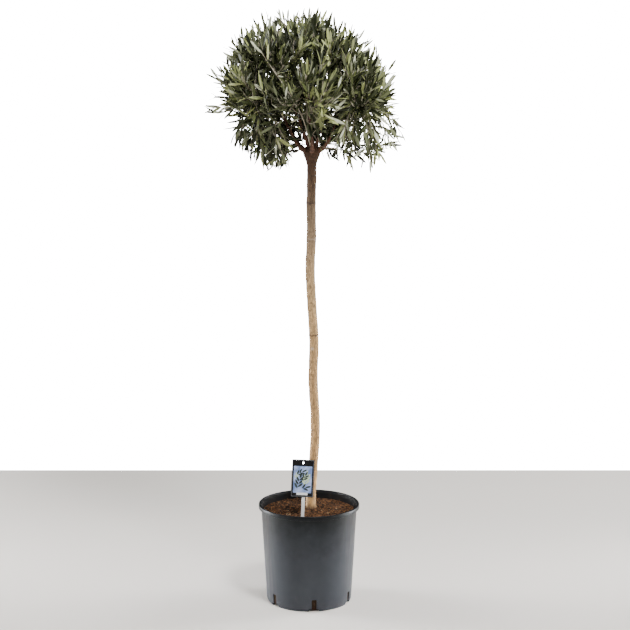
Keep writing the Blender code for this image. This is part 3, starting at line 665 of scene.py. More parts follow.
# The bark's colours from the compost up, at shares of the height range.
BARK_TONES = (
    (0.000, (0.500, 0.290, 0.115)),
    (0.190, (0.500, 0.292, 0.118)),
    (0.290, (0.440, 0.262, 0.108)),
    (0.400, (0.440, 0.264, 0.110)),
    (0.485, (0.450, 0.276, 0.116)),
    (0.588, (0.490, 0.315, 0.142)),
    (0.666, (0.400, 0.262, 0.128)),
    (0.745, (0.240, 0.160, 0.086)),
    (0.810, (0.185, 0.125, 0.070)),
    (0.860, (0.140, 0.086, 0.046)),
    (0.930, (0.078, 0.035, 0.015)),
    (1.000, (0.068, 0.027, 0.011)),
)
TONES_FROM, TONES_TO, TONE_DRIFT, CRACK_SHADE, SCAR_PALENESS = 0.25, 1.20, 0.10, 0.8, -0.8
CRACK_TONE, SCAR_AND_SHADE_TONE = (0.060, 0.036, 0.022, 1), (0.055, 0.030, 0.018, 1)
PALE_SCAR_TONE = (0.62, 0.50, 0.38, 1)


def catmull_rom(before, start, end, after, share):
    """A point on the smooth curve from start to end. It works on numbers and on vectors."""
    s2, s3 = share * share, share**3
    return (
        start * 2
        + (end - before) * share
        + (before * 2 - start * 5 + end * 4 - after) * s2
        + (start * 3 - before - end * 3 + after) * s3
    ) * 0.5


def smooth_line(values, steps):
    """A smooth line through the values, with a number of steps between each two."""
    ends = [values[0] * 2 - values[1], *values, values[-1] * 2 - values[-2]]
    line = [
        catmull_rom(*ends[i : i + 4], step / steps)
        for i in range(len(values) - 1)
        for step in range(steps)
    ]
    return [*line, values[-1]]


def even_line(points, radii, spacing):
    """The same line and radii, with points a set distance apart."""
    lengths = [(b - a).length for a, b in zip(points, points[1:])]
    count = max(2, round(sum(lengths) / spacing))
    marks = np.concatenate(([0], np.cumsum(lengths)))
    wanted = np.linspace(0, marks[-1], count + 1)
    axes = [np.interp(wanted, marks, [point[axis] for point in points]) for axis in range(3)]
    return [Vector(point) for point in zip(*axes)], list(np.interp(wanted, marks, radii))


def tangents(points):
    """The direction of a line of points at each of them."""
    sides = [points[0], *points, points[-1]]
    return [(after - before).normalized() for before, after in zip(sides, sides[2:])]


def turns_along(points):
    """A turn for each point that takes +Z to the line's direction and twists as little as it can."""
    turns = []
    turn = Matrix.Identity(3).to_quaternion()
    for tangent in tangents(points):
        turn = (turn @ UP).rotation_difference(tangent) @ turn
        turns.append(turn)
    return turns


def rod(bm, points, radii, sides):
    """A tapering round rod: a capped ring that is extruded from each point to the next."""
    places = [
        Matrix.Translation(point) @ turn.to_matrix().to_4x4()
        for point, turn in zip(points, turns_along(points))
    ]
    made = bmesh.ops.create_circle(bm, cap_ends=True, segments=sides, radius=radii[0], matrix=places[0])
    end = list({face for vert in made["verts"] for face in vert.link_faces})
    rings = [made["verts"]]
    for index in range(1, len(points)):
        made = bmesh.ops.extrude_face_region(bm, geom=end)
        if index > 1:
            bmesh.ops.delete(bm, geom=end, context="FACES_ONLY")
        end = [item for item in made["geom"] if isinstance(item, bmesh.types.BMFace)]
        thinner = Matrix.Scale(radii[index] / radii[index - 1], 4)
        move = places[index] @ thinner @ places[index - 1].inverted()
        rings.append(list(end[0].verts))
        bmesh.ops.transform(bm, matrix=move, verts=rings[-1])
    return rings


def crack(point, middle, stretch):
    """The depth of the bark's cracks at a point, from 0 to 1. They run along the limb."""
    out = point - middle
    spot = Vector((out.x, out.y, point.z * stretch))
    deep = 0
    for scale, shift, share in BARK_CRACKS:
        ridges = 1 - abs(noise.noise(spot * scale + UP * shift)) * 2
        deep += max(0, ridges) ** 3 * share
    return deep


trunk_points = smooth_line([Vector(point) for point in TRUNK_WAVES], 3)
trunk_points[1].xy = trunk_points[0].xy
trunk_radii = [
    TRUNK_RADIUS + max(0, 1 - (p.z - TRUNK_FOOT) / FLARE_HEIGHT) ** 2 * (FLARE_RADIUS - TRUNK_RADIUS)
    for p in trunk_points
]
trunk_points += [FORK + UP * rise for rise, _ in KNOB]
trunk_radii += [radius for _, radius in KNOB]
bark_points, bark_radii = even_line(trunk_points, trunk_radii, BARK_STEP)
trunk_bm = bmesh.new()
depth = trunk_bm.verts.layers.float.new("crack")
scar_and_shade = trunk_bm.verts.layers.float.new("scar_and_shade")
rings = rod(trunk_bm, bark_points, bark_radii, BARK_SIDES)
for ring, middle, radius in zip(rings, bark_points, bark_radii):
    for vert in ring:
        out = vert.co - middle
        out.z = 0
        out.normalize()
        cracked = crack(vert.co, middle, CRACK_STRETCH)
        swell = 0
        for around, along, shift, lump in BARK_LUMPS:
            spot = Vector((out.x * around, out.y * around, middle.z * along + shift))
            swell += noise.noise(spot) * lump
        swell -= cracked * CRACK_DEPTH
        mark = 0.0
        for height, width, strength in SCAR_RINGS_AND_FOOT_SHADE:
            wavy = height + noise.noise(Vector((out.x, out.y, height)) * 2) * RING_WANDER
            near = math.exp(-(((middle.z - wavy) / width) ** 2))
            mark += strength * near
            swell += RING_RISE * near
        for height, angle, width, strength in KNOTS:
            spot = Vector((math.cos(math.radians(angle)), math.sin(math.radians(angle)), 0))
            apart = math.hypot((middle.z - height), (out - spot).length * radius)
            near = math.exp(-((apart / width) ** 2))
            dimple = math.exp(-((apart / (width * DIMPLE_SHARE)) ** 2))
            mark += strength * near
            swell += KNOT_RISE * near - KNOT_RISE * dimple
        vert[depth] = cracked
        vert[scar_and_shade] = mark
        vert.co += out * min(swell, MOST_SWELL)
bmesh.ops.recalc_face_normals(trunk_bm, faces=trunk_bm.faces)
trunk = new_piece("trunk_bark", trunk_bm)
trunk.data.shade_smooth()
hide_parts("trunk")

bark, tree, shader = new_material("olive_bark", (0.30, 0.22, 0.15), 0.85)
at = node(tree, "TexCoord", {})["Object"]
height = node(tree, "SeparateXYZ", {"Vector": at})["Z"]
cloud = node(tree, "TexNoise", {"Vector": at, "Scale": 26, "Detail": 5})["Fac"]
drift = node(tree, "Math", {0: cloud, 1: TONE_DRIFT, 2: height}, operation="MULTIPLY_ADD")[0]
tone = toned(tree, remapped(tree, drift, TONES_FROM, TONES_TO), BARK_TONES)
grain_at = node(tree, "Mapping", {"Vector": at, "Scale": (1, 1, 0.22)})[0]
grain_shape = {"Vector": grain_at, "Scale": 300, "Detail": 6, "Roughness": 0.7}
grain = node(tree, "TexNoise", grain_shape)["Fac"]
grained = mixed(tree, 1.0, tone, remapped(tree, grain, 0.3, 0.7, 0.46, 1.50), "MULTIPLY")
spot_at = node(tree, "Mapping", {"Vector": at, "Scale": (1, 1, 1.8)})[0]
spots = node(tree, "TexNoise", {"Vector": spot_at, "Scale": 95, "Detail": 2})["Fac"]
spotted = mixed(tree, 1.0, grained, remapped(tree, spots, 0.60, 0.70, 1.0, 0.52), "MULTIPLY")
cracks = node(tree, "Attribute", {}, attribute_name="crack")["Fac"]
crack_share = node(tree, "Math", {0: cracks, 1: CRACK_SHADE}, operation="MULTIPLY")[0]
cracked = mixed(tree, crack_share, spotted, CRACK_TONE)
# The scar marks also carry the painted shade at the stem's foot.
scar_and_shade_marks = node(tree, "Attribute", {}, attribute_name="scar_and_shade")["Fac"]
scarred_and_shaded = mixed(tree, scar_and_shade_marks, cracked, SCAR_AND_SHADE_TONE)
paler = node(tree, "Math", {0: scar_and_shade_marks, 1: SCAR_PALENESS}, operation="MULTIPLY", use_clamp=True)[0]
healed = mixed(tree, paler, scarred_and_shaded, PALE_SCAR_TONE)
tree.links.new(healed, shader.inputs["Base Color"])
raised(tree, shader, grain, 0.6, 0.0005)
trunk.data.materials.append(bark)

# Boughs ---------------------------------------------------------------------------------------
# Each bough is one limb from the knob to the edge of the head. It leaves the knob steeply, bends
# outwards, and thins as its shoots leave it. Its young bark is redder and smoother than the stem's.

CROWN_CENTRE = Vector((-0.004, 0.0, 1.272))
CROWN_HALF = Vector((0.184, 0.178, 0.140))
TIERS = (("top", 1, 90, 0), ("upper", 4, 36, 45), ("lower", 6, -8, 30))
MIDDLE_SHARE, LEADER_END = 0.56, 0.90
BOUGH_SEAT = {"top": 0.0, "upper": 0.005, "lower": 0.012}
BOUGH_START_RISE = {"top": 90, "upper": 66, "lower": 42}
BOUGH_RADIUS = {"top": 0.0042, "upper": 0.0041, "lower": 0.0048}
BOUGH_TIP_RADIUS, STEM_TIP_RADIUS = 0.0032, 0.0012
BOUGH_ELBOW = 0.045
LEADER_STEPS, LEAST_BOUGH_STEPS = 5, 7
LOBES = (
    (Vector((-0.70, -0.2, 0.70)), 0.12),
    (Vector((0.80, -0.4, -0.45)), 0.12),
    (Vector((0.60, -0.3, 0.74)), -0.06),
    (Vector((-0.60, -0.3, -0.74)), -0.06),
)
LOBE_TIGHTNESS = 5
SPACE_GAP, TWIG_MARGIN = 0.0010, 0.004
BOUGH_STEP, BOUGH_SIDES = 0.0022, 20
BOUGH_FLARE = (1.00, 1.28, 1.46, 1.38, 1.24, 1.12)
BOUGH_LUMP_SCALE, BOUGH_LUMP, BOUGH_GRAIN_SCALE, BOUGH_GRAIN = 60, 0.14, 240, 0.10


def direction(azimuth, rise):
    """A unit vector from two angles in degrees. Azimuth 0 is +X, and it turns towards +Y."""
    turn, climb = math.radians(azimuth), math.radians(rise)
    flat = math.cos(climb)
    return Vector((flat * math.cos(turn), flat * math.sin(turn), math.sin(climb)))


def crown_point(way, share):
    """A point that lies a share of the way from the crown's middle to its shoot tips."""
    swell = 1.0
    for lobe, gain in LOBES:
        swell += gain * max(0, way.dot(lobe.normalized())) ** LOBE_TIGHTNESS
    return CROWN_CENTRE + CROWN_HALF * way * share * swell


def leader_line(tier, azimuth, rise):
    """A bough and the mass's stem beyond it, as one line from the knob to the crown's edge."""
    start = FORK + BOUGH_SEAT[tier] * direction(azimuth, 0)
    elbow = start + BOUGH_ELBOW * direction(azimuth, BOUGH_START_RISE[tier])
    way = direction(azimuth, rise)
    middle, end = crown_point(way, MIDDLE_SHARE), crown_point(way, LEADER_END)
    return smooth_line([start, elbow, middle, end], LEADER_STEPS)


def space_walls(name):
    """The planes half way to each neighbour: their outward normals, and how far out they are."""
    here = middles[name]
    others = [middle for other, middle in middles.items() if other != name]
    normals = [(other - here).normalized() for other in others]
    reach = [n.dot(here + other) / 2 - SPACE_GAP / 2 for n, other in zip(normals, others)]
    return np.array(normals), np.array(reach)


def within(walls, points, margin=0.0):
    normals, reach = walls
    return bool((np.array(points) @ normals.T < reach - margin).all())


def bough_end(line, walls):
    """The number of the point at which a bough has entered its mass's space and ends."""
    return next(
        index
        for index in range(LEAST_BOUGH_STEPS, len(line))
        if within(walls, line[index:], TWIG_MARGIN)
    )


def tapered(first, last, count):
    return [first + (last - first) * i / (count - 1) for i in range(count)]


masses = {}
for tier, count, rise, turn in TIERS:
    for index in range(count):
        masses[tier if count == 1 else f"{tier}_{index + 1}"] = (tier, turn + index * 360 / count, rise)
leaders = {name: leader_line(*shape) for name, shape in masses.items()}
middles = {
    name: crown_point(direction(azimuth, rise), MIDDLE_SHARE)
    for name, (_, azimuth, rise) in masses.items()
}
walls = {name: space_walls(name) for name in masses}
ends = {name: bough_end(leaders[name], walls[name]) for name in masses}

red_bark, tree, shader = new_material("young_bark", (0.20, 0.12, 0.075), 0.75)
low, high = (0.32, (0.048, 0.018, 0.009)), (0.76, (0.185, 0.080, 0.040))
flecked(tree, shader, 75, 5, low, high, roughness=0.62, relief=(0.5, 0.0005))

for name, (tier, _, _) in masses.items():
    line = leaders[name]
    radii = tapered(BOUGH_RADIUS[tier], BOUGH_TIP_RADIUS, ends[name] + 1)
    radii += tapered(BOUGH_TIP_RADIUS, STEM_TIP_RADIUS, len(line) - ends[name])[1:]
    radii = [radius * flare for radius, flare in zip(radii, (*BOUGH_FLARE, *[1.0] * len(radii)))]
    points, radii = even_line(smooth_line(line, 4), smooth_line(radii, 4), BOUGH_STEP)
    bough_bm = bmesh.new()
    for ring, middle, radius in zip(rod(bough_bm, points, radii, BOUGH_SIDES), points, radii):
        for vert in ring:
            out = (vert.co - middle).normalized()
            swell = noise.noise(vert.co * BOUGH_LUMP_SCALE) * BOUGH_LUMP
            swell += noise.noise(vert.co * BOUGH_GRAIN_SCALE) * BOUGH_GRAIN
            vert.co += out * radius * swell
    bmesh.ops.recalc_face_normals(bough_bm, faces=bough_bm.faces)
    bough = new_piece(f"bough_{name}_bark", bough_bm, red_bark)
    bough.data.shade_smooth()
    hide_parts("bough_" + name)

# Foliage --------------------------------------------------------------------------------------
# Each bough carries a mass of straight slim shoots with side twigs, and pairs of narrow leaves
# on both. An olive's leaf is leathery and grey-green above, and felted silver below. The tints
# are dealt by where light falls: near-black painted shade inside the head and low down, and pale,
# yellower painted highlight on the sunlit top and sides. The rule is the same for every mass,
# from a seed of its own.

SEED, SHOOTS, LOWEST_TIP, TIP_JITTER = 7, 80, -0.93, 0.07
GOLDEN_TURN = math.pi * (3 - math.sqrt(5))
LONG_SHOOT_TIPS = (
    (0.008, 0.000, 1.420),
    (-0.206, -0.020, 1.284),
    (0.186, -0.040, 1.170),
    (0.145, -0.070, 1.115),
    (-0.062, -0.085, 1.122),
)
FORK_ANGLE = math.radians(50)
ARCH, HANG, HANGING_BELOW, ARCH_RANGE, PULL = 0.13, 0.10, -0.45, (0.6, 1.3), 0.06
SHOOT_STEPS = 9
SHOOT_RADIUS, SHOOT_TIP_RADIUS = 0.0017, 0.0008
SIDE_RADIUS, SIDE_TIP_RADIUS, SIDE_STEPS = 0.0009, 0.0005, 4
SIDE_GAP, SIDE_LENGTHS, SIDE_ANGLE = 0.0185, (0.036, 0.082), math.radians(38)
LIFT, LOW_LIFT, LOW_DOWN = 0.95, -0.45, -0.50
EXTENSION = (0.006, 0.022)
OUTER_SHARE, TOP_OUTER_SHARE, LOW_OUTER_SHARE, RIGHT_OUTER_SHARE = 1.06, 1.12, 1.30, 0.98
TOP_UP, RIGHT_OUT, LEFT_OUT, LEFT_OUTER_SHARE = 0.76, 0.80, -0.86, 1.03
FIRST_SIDES, FRONT_FIRST_SIDES, FRONT_MASS = 2, 5, "lower_5"
SPRIG_TIPS = (
    (-0.112, -0.050, 1.122),
    (-0.094, 0.015, 1.106),
    (-0.080, -0.040, 1.106),
    (-0.135, -0.010, 1.145),
    (-0.228, -0.010, 1.225),
    (-0.222, 0.030, 1.250),
    (0.168, -0.020, 1.122),
    (0.220, -0.010, 1.168),
    (0.208, 0.040, 1.190),
    (0.070, 0.075, 1.128),
    (0.032, -0.182, 1.240),
    (-0.150, -0.060, 1.345),
    (-0.165, -0.020, 1.162),
    (-0.160, 0.040, 1.172),
    (-0.105, 0.040, 1.116),
    (-0.215, -0.050, 1.215),
)
INNER_TIP_SHARE, INNER_TIP_STEP, INNER_TIP_UP = 0.68, 2, -0.35
# An x range, a y, and the heights below which no leaf grows in front of that y and behind it.
FORK_CLEAR = ((-0.030, 0.036), 0.020, 1.150, 1.134)
# An x range, a y, a height range, and the share of leaves left out in front of that y.
WOOD_SHOWS = ((-0.078, 0.024), -0.04, (1.130, 1.232), 0.58)
# An x and a height, and the share of leaves left out beyond the one and below the other.
THIN_SIDE = (0.025, 1.152, 0.18)
# The x, height and radius of each gap. Its height falls towards the back by the slope.
SKY_GAPS = (
    (-0.136, 1.272, 0.013),
    (-0.093, 1.191, 0.010),
    (-0.033, 1.162, 0.010),
    (-0.150, 1.225, 0.012),
    (0.053, 1.270, 0.009),
)
GAP_SLOPE, SIDE_LIGHT = 0.08, 0.155
# Leaves near this spot get mostly the pale tint on both sides: partly their silver undersides, partly
# painted highlight.
SILVER_SPOT, SILVER_REACH = Vector((0.032, -0.172, 1.236)), 0.042
# Limbs that start low on their bough and pass these points. Each is bare for a share of its length.
OUTER_LIMBS = {
    "lower_5": (
        (-0.012, -0.120, 1.205), (-0.040, -0.156, 1.262),
        (-0.082, -0.168, 1.325), (-0.112, -0.166, 1.370),
    ),
    "lower_6": (
        (0.050, -0.020, 1.131), (0.090, -0.026, 1.125),
        (0.130, -0.030, 1.127), (0.176, -0.032, 1.137),
    ),
    "lower_4": (
        (-0.022, -0.020, 1.134), (-0.048, -0.036, 1.124),
        (-0.068, -0.046, 1.108), (-0.080, -0.050, 1.096),
    ),
}
LIMB_RADII, LIMB_BARE = (0.0016, 0.0008), {"lower_5": 0.80, "lower_6": 0.35, "lower_4": 0.45}
# The leaf's outline, as shares of its length and of its width.
LEAF_SHAPE = ((0.00, 0.08), (0.10, 0.14), (0.30, 0.84), (0.56, 1.00), (0.83, 0.74), (1.00, 0.12))
LEAF_LENGTH, LEAF_ASPECT, LEAF_THICK = 0.047, 0.176, 0.013
# The curl, fold, twist and sway of each form of leaf.
LEAF_FORMS = (
    (-0.07, 0.18, 0.06, 0.01),
    (0.04, 0.30, -0.10, -0.02),
    (-0.12, 0.10, 0.14, 0.02),
    (0.02, 0.22, 0.18, -0.01),
    (-0.05, 0.12, -0.16, 0.02),
    (0.08, 0.34, 0.04, 0.00),
)
PAIR_STEP, BARE_SHARE = 0.0205, 0.16
LEAF_ANGLES = (math.radians(41), math.radians(17))
LEAF_ROLL, LEAN_JITTER = math.radians(28), math.radians(9)
LEAF_SIZES, SHRINK = (0.78, 1.10), 0.22
END_LEAF_ANGLE = 0.2
INNER_SHARE, SHADED_SHARE = 0.30, 0.78
# The colours of the upper side and the underside, from a near-black tint of painted shade to pale and
# yellow tints that are partly painted sunlit highlight.
LEAF_TINTS = {
    "leaf_deep": ((0.010, 0.013, 0.0035), (0.045, 0.050, 0.026)),
    "leaf_green": ((0.032, 0.038, 0.013), (0.110, 0.122, 0.066)),
    "leaf_grey": ((0.075, 0.087, 0.030), (0.210, 0.228, 0.130)),
    "leaf_pale": ((0.205, 0.228, 0.095), (0.560, 0.585, 0.430)),
    "leaf_young": ((0.315, 0.350, 0.130), (0.500, 0.535, 0.260)),
}
# The weights of the five tints, which stand for painted shade and sunlight, on twigs in shade, between,
# in the sun and at the silver spot.
SHADED, MIDDLING = (66, 24, 7, 3, 0), (28, 30, 23, 13, 6)
SUNLIT, SILVERY = (13, 23, 27, 19, 18), (0, 4, 16, 74, 6)
SUNLIT_SHARE, SHADE_HEIGHT, SHADE_HALF_WIDTH = 0.93, 1.232, 0.135
OWN_TINT_SHARE, SKIP_CHANCE, SHORTEST_TWIG = 0.7, 0.15, 0.018
SIDE_SHRINK, ANGLE_SPREAD, GAP_SPREAD = 0.5, (0.8, 1.25), (0.82, 1.18)
TRIMS, TRIM_SHARE = 8, 0.15
SIDE_BARK, SHOOT_BARK, LIMB_BARK = 0, 1, 2


def bend(start, control, end, share):
    """A point on the curve that leaves start for control and comes in to end from it."""
    return start.lerp(control, share).lerp(control.lerp(end, share), share)


def shoot_ways():
    """Ways from the crown's middle to its shoot tips, spread evenly by the golden angle."""
    rng = random.Random(SEED)
    ways = []
    for index in range(SHOOTS):
        height = 1 - (index + 0.5) * (1 - LOWEST_TIP) / SHOOTS
        turn = index * GOLDEN_TURN
        flat = math.sqrt(1 - height * height)
        wobble = [rng.uniform(-TIP_JITTER, TIP_JITTER) for _ in range(3)]
        way = Vector((flat * math.cos(turn), flat * math.sin(turn), height)) + Vector(wobble)
        ways.append(way.normalized())
    return ways


def pulled_in(point, middle, walls, margin):
    """The point, drawn towards the middle of its space until it lies inside by the margin."""
    while not within(walls, [point], margin):
        point = point.lerp(middle, PULL)
    return point


def is_high(point):
    """Whether a point is in the part of the head whose twigs turn up, not in its hanging skirt."""
    return (point - CROWN_CENTRE).z / CROWN_HALF.z > LOW_DOWN


def lift_at(point):
    """How much a twig at a point turns up towards the light, or hangs."""
    return LIFT if is_high(point) else LOW_LIFT


def grow_shoots(stem, middle, walls, tips, rng):
    """The mass's shoots. Each leaves the stem where it makes about the fork angle with it."""
    lines = []
    starts = [
        (point, way)
        for point, way in zip(stem[1:-1], tangents(stem)[1:-1])
        if within(walls, [point], TWIG_MARGIN)
    ]
    for tip in tips:
        tip = pulled_in(tip, middle, walls, TWIG_MARGIN)
        start, _ = min(starts, key=lambda spot: abs((tip - spot[0]).angle(spot[1]) - FORK_ANGLE))
        reach = tip - start
        sag = ARCH if reach.normalized().z > HANGING_BELOW else -HANG
        sag *= rng.uniform(*ARCH_RANGE)
        control = start.lerp(tip, 0.5) - UP * sag * reach.length
        control = pulled_in(control, middle, walls, TWIG_MARGIN)
        line = [bend(start, control, tip, i / SHOOT_STEPS) for i in range(SHOOT_STEPS + 1)]
        onward = ((tip - control).normalized() + UP * lift_at(tip) * 0.5).normalized()
        line.append(tip + onward * rng.uniform(*EXTENSION))
        lines.append(line)
    return lines


def is_bare(point, rng):
    """Whether a leaf is left out here, where the fork, wood or sky shows or the head is thin."""
    (left, right), back, front_height, back_height = FORK_CLEAR
    if left < point.x < right and point.z < (front_height if point.y < back else back_height):
        return True
    (left, right), back, (low, high), share = WOOD_SHOWS
    if left < point.x < right and point.y < back and low < point.z < high:
        return rng.random() < share
    for x, z, radius in SKY_GAPS:
        if math.hypot(point.x - x, point.z + GAP_SLOPE * point.y - z) < radius:
            return True
    return point.x > THIN_SIDE[0] and point.z < THIN_SIDE[1] and rng.random() < THIN_SIDE[2]


def crown_share(point):
    """How far out a point lies in the head: 1 is at the shoot tips."""
    away = point - CROWN_CENTRE
    way = Vector([a / h for a, h in zip(away, CROWN_HALF)])
    if way.length < 0.01:
        return 0
    reach = crown_point(way.normalized(), 1.0) - CROWN_CENTRE
    return away.length / reach.length


def outer_share(point):
    """How far out in the head the side twigs at a point may reach."""
    if not is_high(point):
        return LOW_OUTER_SHARE
    way = (point - CROWN_CENTRE).normalized()
    if way.x > RIGHT_OUT:
        return RIGHT_OUTER_SHARE
    if way.x < LEFT_OUT:
        return LEFT_OUTER_SHARE
    return TOP_OUTER_SHARE if way.z > TOP_UP else OUTER_SHARE


def line_spots(line, first, gap, rng):
    """Spots along a line from a share of its length on, each with its stretch and its share."""
    lengths = [(b - a).length for a, b in zip(line, line[1:])]
    total = sum(lengths)
    distance = total * first
    while distance < total - gap / 3:
        left, index = distance, 0
        while left > lengths[index] and index < len(lengths) - 1:
            left -= lengths[index]
            index += 1
        yield line[index].lerp(line[index + 1], left / lengths[index]), index, distance / total
        distance += gap * rng.uniform(*GAP_SPREAD)


def spoke_way(turn, angle):
    """The way out from a twig at an angle around it."""
    return turn @ Vector((math.cos(angle), math.sin(angle), 0))


def grow_sides(line, rng, first=BARE_SHARE):
    """The side twigs of a shoot, in opposite pairs that turn up towards the light."""
    twigs = []
    turns = turns_along(line)
    spoke = rng.uniform(0, math.pi)
    for root, stretch, share in line_spots(line, first, SIDE_GAP, rng):
        along = (line[stretch + 1] - line[stretch]).normalized()
        spoke += math.pi / 2
        for half_turn in (0, math.pi):
            length = rng.uniform(*SIDE_LENGTHS) * (1 - SIDE_SHRINK * share)
            angle = SIDE_ANGLE * rng.uniform(*ANGLE_SPREAD)
            side = spoke_way(turns[stretch], spoke + half_turn)
            way = along * math.cos(angle) + side * math.sin(angle)
            tip = root + (way + UP * lift_at(root)).normalized() * length
            if crown_share(root) < INNER_SHARE or rng.random() < SKIP_CHANCE or is_bare(tip, rng):
                continue
            reach = outer_share(root)
            for _ in range(TRIMS):
                if crown_share(tip) > reach:
                    tip = tip.lerp(root, TRIM_SHARE)
            if (tip - root).length < SHORTEST_TWIG:
                continue
            control = root + way * (tip - root).length * 0.5
            twigs.append([bend(root, control, tip, i / SIDE_STEPS) for i in range(SIDE_STEPS + 1)])
    return twigs


def leaf_form(curl, fold, twist, sway):
    """A leaf of length 1 along +Y on a short stalk. Its blade has a crease along the rib."""
    bm = bmesh.new()
    rings = rod(bm, [Vector((0, along, 0)) for along, _ in LEAF_SHAPE], [1.0] * len(LEAF_SHAPE), 4)
    for ring, (along, wide) in zip(rings, LEAF_SHAPE):
        half = wide * LEAF_ASPECT / 2
        for vert in ring:
            edge, lift = round(vert.co.x), round(vert.co.z)
            rise = abs(edge) * half * fold + lift * LEAF_THICK / 2
            section = Matrix.Rotation(twist * along, 3, "Y") @ Vector((edge * half, 0, rise))
            vert.co = section + Vector((sway * along**2, along, curl * along**2))
    bmesh.ops.recalc_face_normals(bm, faces=bm.faces)
    for face in bm.faces:
        face.material_index = int(face.normal.z < 0)
    return bm


def leaf_place(root, along, side, angle, roll):
    """A leaf's frame at its root: Y runs up the leaf, and its upper face looks up the shoot."""
    heading = along * math.cos(angle) + side * math.sin(angle)
    face = along * math.sin(angle) - side * math.cos(angle)
    turn = Matrix((heading.cross(face), heading, face)).transposed()
    return Matrix.Translation(root) @ turn.to_4x4() @ Matrix.Rotation(roll, 4, "Y")


def grow_leaves(line, tint, rng):
    """A twig's leaves, in opposite pairs a quarter turn apart and one at its end.

    Each has its form, its place and the number of its first finish."""
    leaves = []
    turns = turns_along(line)
    spoke = rng.uniform(0, math.pi)
    roots = line_spots(line, BARE_SHARE, PAIR_STEP, rng)
    spots = [(*spot, half) for spot in roots for half in (0, math.pi)]
    spots.append((line[-1], len(line) - 2, 1.0, 0))
    for root, stretch, share, half in spots:
        if half == 0:
            spoke += math.pi / 2
        along = (line[stretch + 1] - line[stretch]).normalized()
        side = spoke_way(turns[stretch], spoke + half)
        side = (side - along * side.dot(along)).normalized()
        angle = LEAF_ANGLES[0] + share * (LEAF_ANGLES[1] - LEAF_ANGLES[0])
        if share == 1.0:
            angle = END_LEAF_ANGLE
        angle += rng.uniform(-LEAN_JITTER, LEAN_JITTER)
        size = LEAF_LENGTH * rng.uniform(*LEAF_SIZES) * (1 - SHRINK * share)
        place = leaf_place(root, along, side, angle, rng.uniform(-LEAF_ROLL, LEAF_ROLL))
        tip = place @ Vector((0, size, 0))
        if crown_share(root) < INNER_SHARE or any(t < a or t > b for t, a, b in zip(tip, *head_box)):
            continue
        if is_bare(tip, rng):
            continue
        form = rng.randrange(len(LEAF_FORMS))
        own = tint if rng.random() < OWN_TINT_SHARE else rng.randrange(len(LEAF_TINTS))
        leaves.append((form, place @ Matrix.Scale(size, 4), 2 * own))
    return leaves


def tint_weights(twig):
    """The weights of the leaf tints on a side twig, by the light that reaches it."""
    root, out = twig[0], crown_share(twig[0])
    if (twig[-1] - SILVER_SPOT).length < SILVER_REACH:
        return SILVERY
    if (out > SUNLIT_SHARE and root.z > SHADE_HEIGHT) or abs(root.x) > SIDE_LIGHT:
        return SUNLIT
    under = root.z < SHADE_HEIGHT and abs(root.x) < SHADE_HALF_WIDTH
    return SHADED if under or out < SHADED_SHARE else MIDDLING


def twig_piece(name, twigs, finishes):
    """All the twigs of a mass as one mesh, from a curve with a round bevel."""
    curve = bpy.data.curves.new(name, "CURVE")
    curve.dimensions = "3D"
    curve.bevel_depth = 1.0
    curve.bevel_resolution = 1
    curve.use_fill_caps = True
    for points, radii, kind in twigs:
        spline = curve.splines.new("POLY")
        spline.material_index = kind
        spline.points.add(len(points) - 1)
        for slot, point, radius in zip(spline.points, points, radii):
            slot.co = (*point, 1.0)
            slot.radius = radius
    for finish in finishes:
        curve.materials.append(finish)
    guide = linked(name + "_line", curve)
    bpy.context.view_layer.update()
    mesh = bpy.data.meshes.new_from_object(guide.evaluated_get(bpy.context.evaluated_depsgraph_get()))
    bpy.data.objects.remove(guide)
    bm = bmesh.new()
    bm.from_mesh(mesh)
    bpy.data.meshes.remove(mesh)
    bmesh.ops.remove_doubles(bm, verts=bm.verts, dist=0.00001)
    bmesh.ops.recalc_face_normals(bm, faces=bm.faces)
    piece = new_piece(name, bm, *finishes)
    piece.data.shade_smooth()
    return piece


leaf_finishes = []
for name, (upper, under) in LEAF_TINTS.items():
    # The tint of painted shade also gets a weaker sheen, so that it stays dark.
    sheen = 0.16 if name == "leaf_deep" else 0.30
    sides = (("upper", upper, 0.42, sheen), ("under", under, 0.75, 0.12))
    for side, colour, roughness, specular in sides:
        finish, tree, shader = new_material(f"{name}_{side}", colour, roughness, specular)
        flecked(tree, shader, 240, 3, (0.3, shaded(colour, 0.80)), (0.7, shaded(colour, 1.20)))
        leaf_finishes.append(finish)
twig_bark, tree, shader = new_material("twig_bark", (0.34, 0.31, 0.23), 0.7)
flecked(tree, shader, 190, 4, (0.3, (0.20, 0.165, 0.11)), (0.7, (0.46, 0.42, 0.33)))
limb_bark, tree, shader = new_material("limb_bark", (0.36, 0.26, 0.20), 0.7)
flecked(tree, shader, 240, 4, (0.3, (0.22, 0.14, 0.10)), (0.7, (0.46, 0.35, 0.28)))

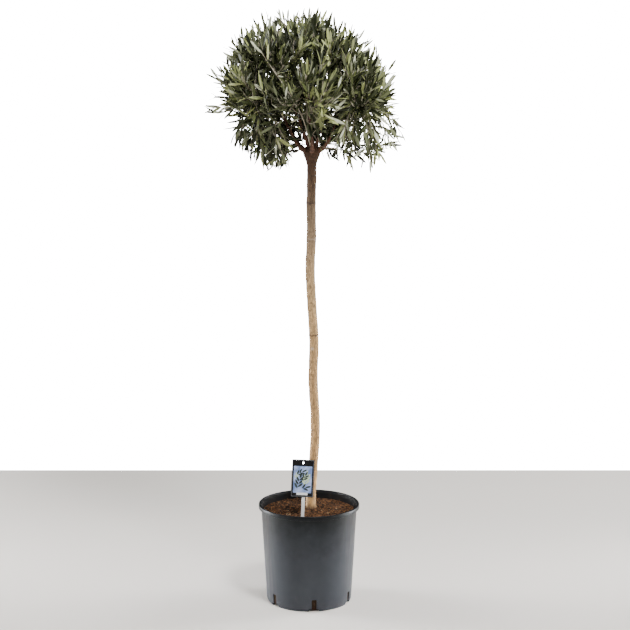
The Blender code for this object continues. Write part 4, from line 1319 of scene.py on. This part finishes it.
leaf_forms = [leaf_form(*form) for form in LEAF_FORMS]
mass_boxes = [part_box("foliage_" + name) for name in masses]
head_box = (
    [min(low[axis] for low, _ in mass_boxes) for axis in range(3)],
    [max(high[axis] for _, high in mass_boxes) for axis in range(3)],
)
tips = {name: [] for name in masses}
shoot_tips = [Vector(tip) for tip in LONG_SHOOT_TIPS]
shoot_tips += [crown_point(way, 1.0) for way in shoot_ways()]
shoot_tips += [Vector(tip) for tip in SPRIG_TIPS]
inner_ways = [way for way in shoot_ways()[::INNER_TIP_STEP] if way.z > INNER_TIP_UP]
shoot_tips += [crown_point(way, INNER_TIP_SHARE) for way in inner_ways]
for tip in shoot_tips:
    nearest = min(middles, key=lambda name: (middles[name] - tip).length)
    tips[nearest].append(tip)

for name in masses:
    rng = random.Random(f"{SEED} {name}")
    stem = leaders[name][ends[name] :]
    shoots = grow_shoots(stem, middles[name], walls[name], tips[name], rng)
    shoot_radii = tapered(SHOOT_RADIUS, SHOOT_TIP_RADIUS, SHOOT_STEPS + 2)
    twigs = [(shoot, shoot_radii, SHOOT_BARK) for shoot in shoots]
    grown = []
    first = FRONT_FIRST_SIDES if name == FRONT_MASS else FIRST_SIDES
    leafy = [leaders[name][first:], *shoots]
    if name in OUTER_LIMBS:
        limb = smooth_line([leaders[name][1], *map(Vector, OUTER_LIMBS[name])], LEADER_STEPS)
        twigs.append((limb, tapered(*LIMB_RADII, len(limb)), LIMB_BARK))
        leafy.append(limb[int(len(limb) * LIMB_BARE[name]) :])
    for order, shoot in enumerate(leafy):
        grown += grow_leaves(shoot, rng.randrange(len(LEAF_TINTS)), rng)
        for side_twig in grow_sides(shoot, rng, BARE_SHARE if order else 0.0):
            twigs.append((side_twig, tapered(SIDE_RADIUS, SIDE_TIP_RADIUS, len(side_twig)), SIDE_BARK))
            tint = rng.choices(range(len(LEAF_TINTS)), tint_weights(side_twig))[0]
            grown += grow_leaves(side_twig, tint, rng)
    twig_mesh = twig_piece(f"foliage_{name}_twigs", twigs, [twig_bark, red_bark, limb_bark])
    leaves = joined(f"foliage_{name}_leaves", leaf_forms, *zip(*grown), leaf_finishes)
    leaves.data.shade_smooth()
    leaves.data.set_sharp_from_angle(angle=math.radians(50))
    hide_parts("foliage_" + name)
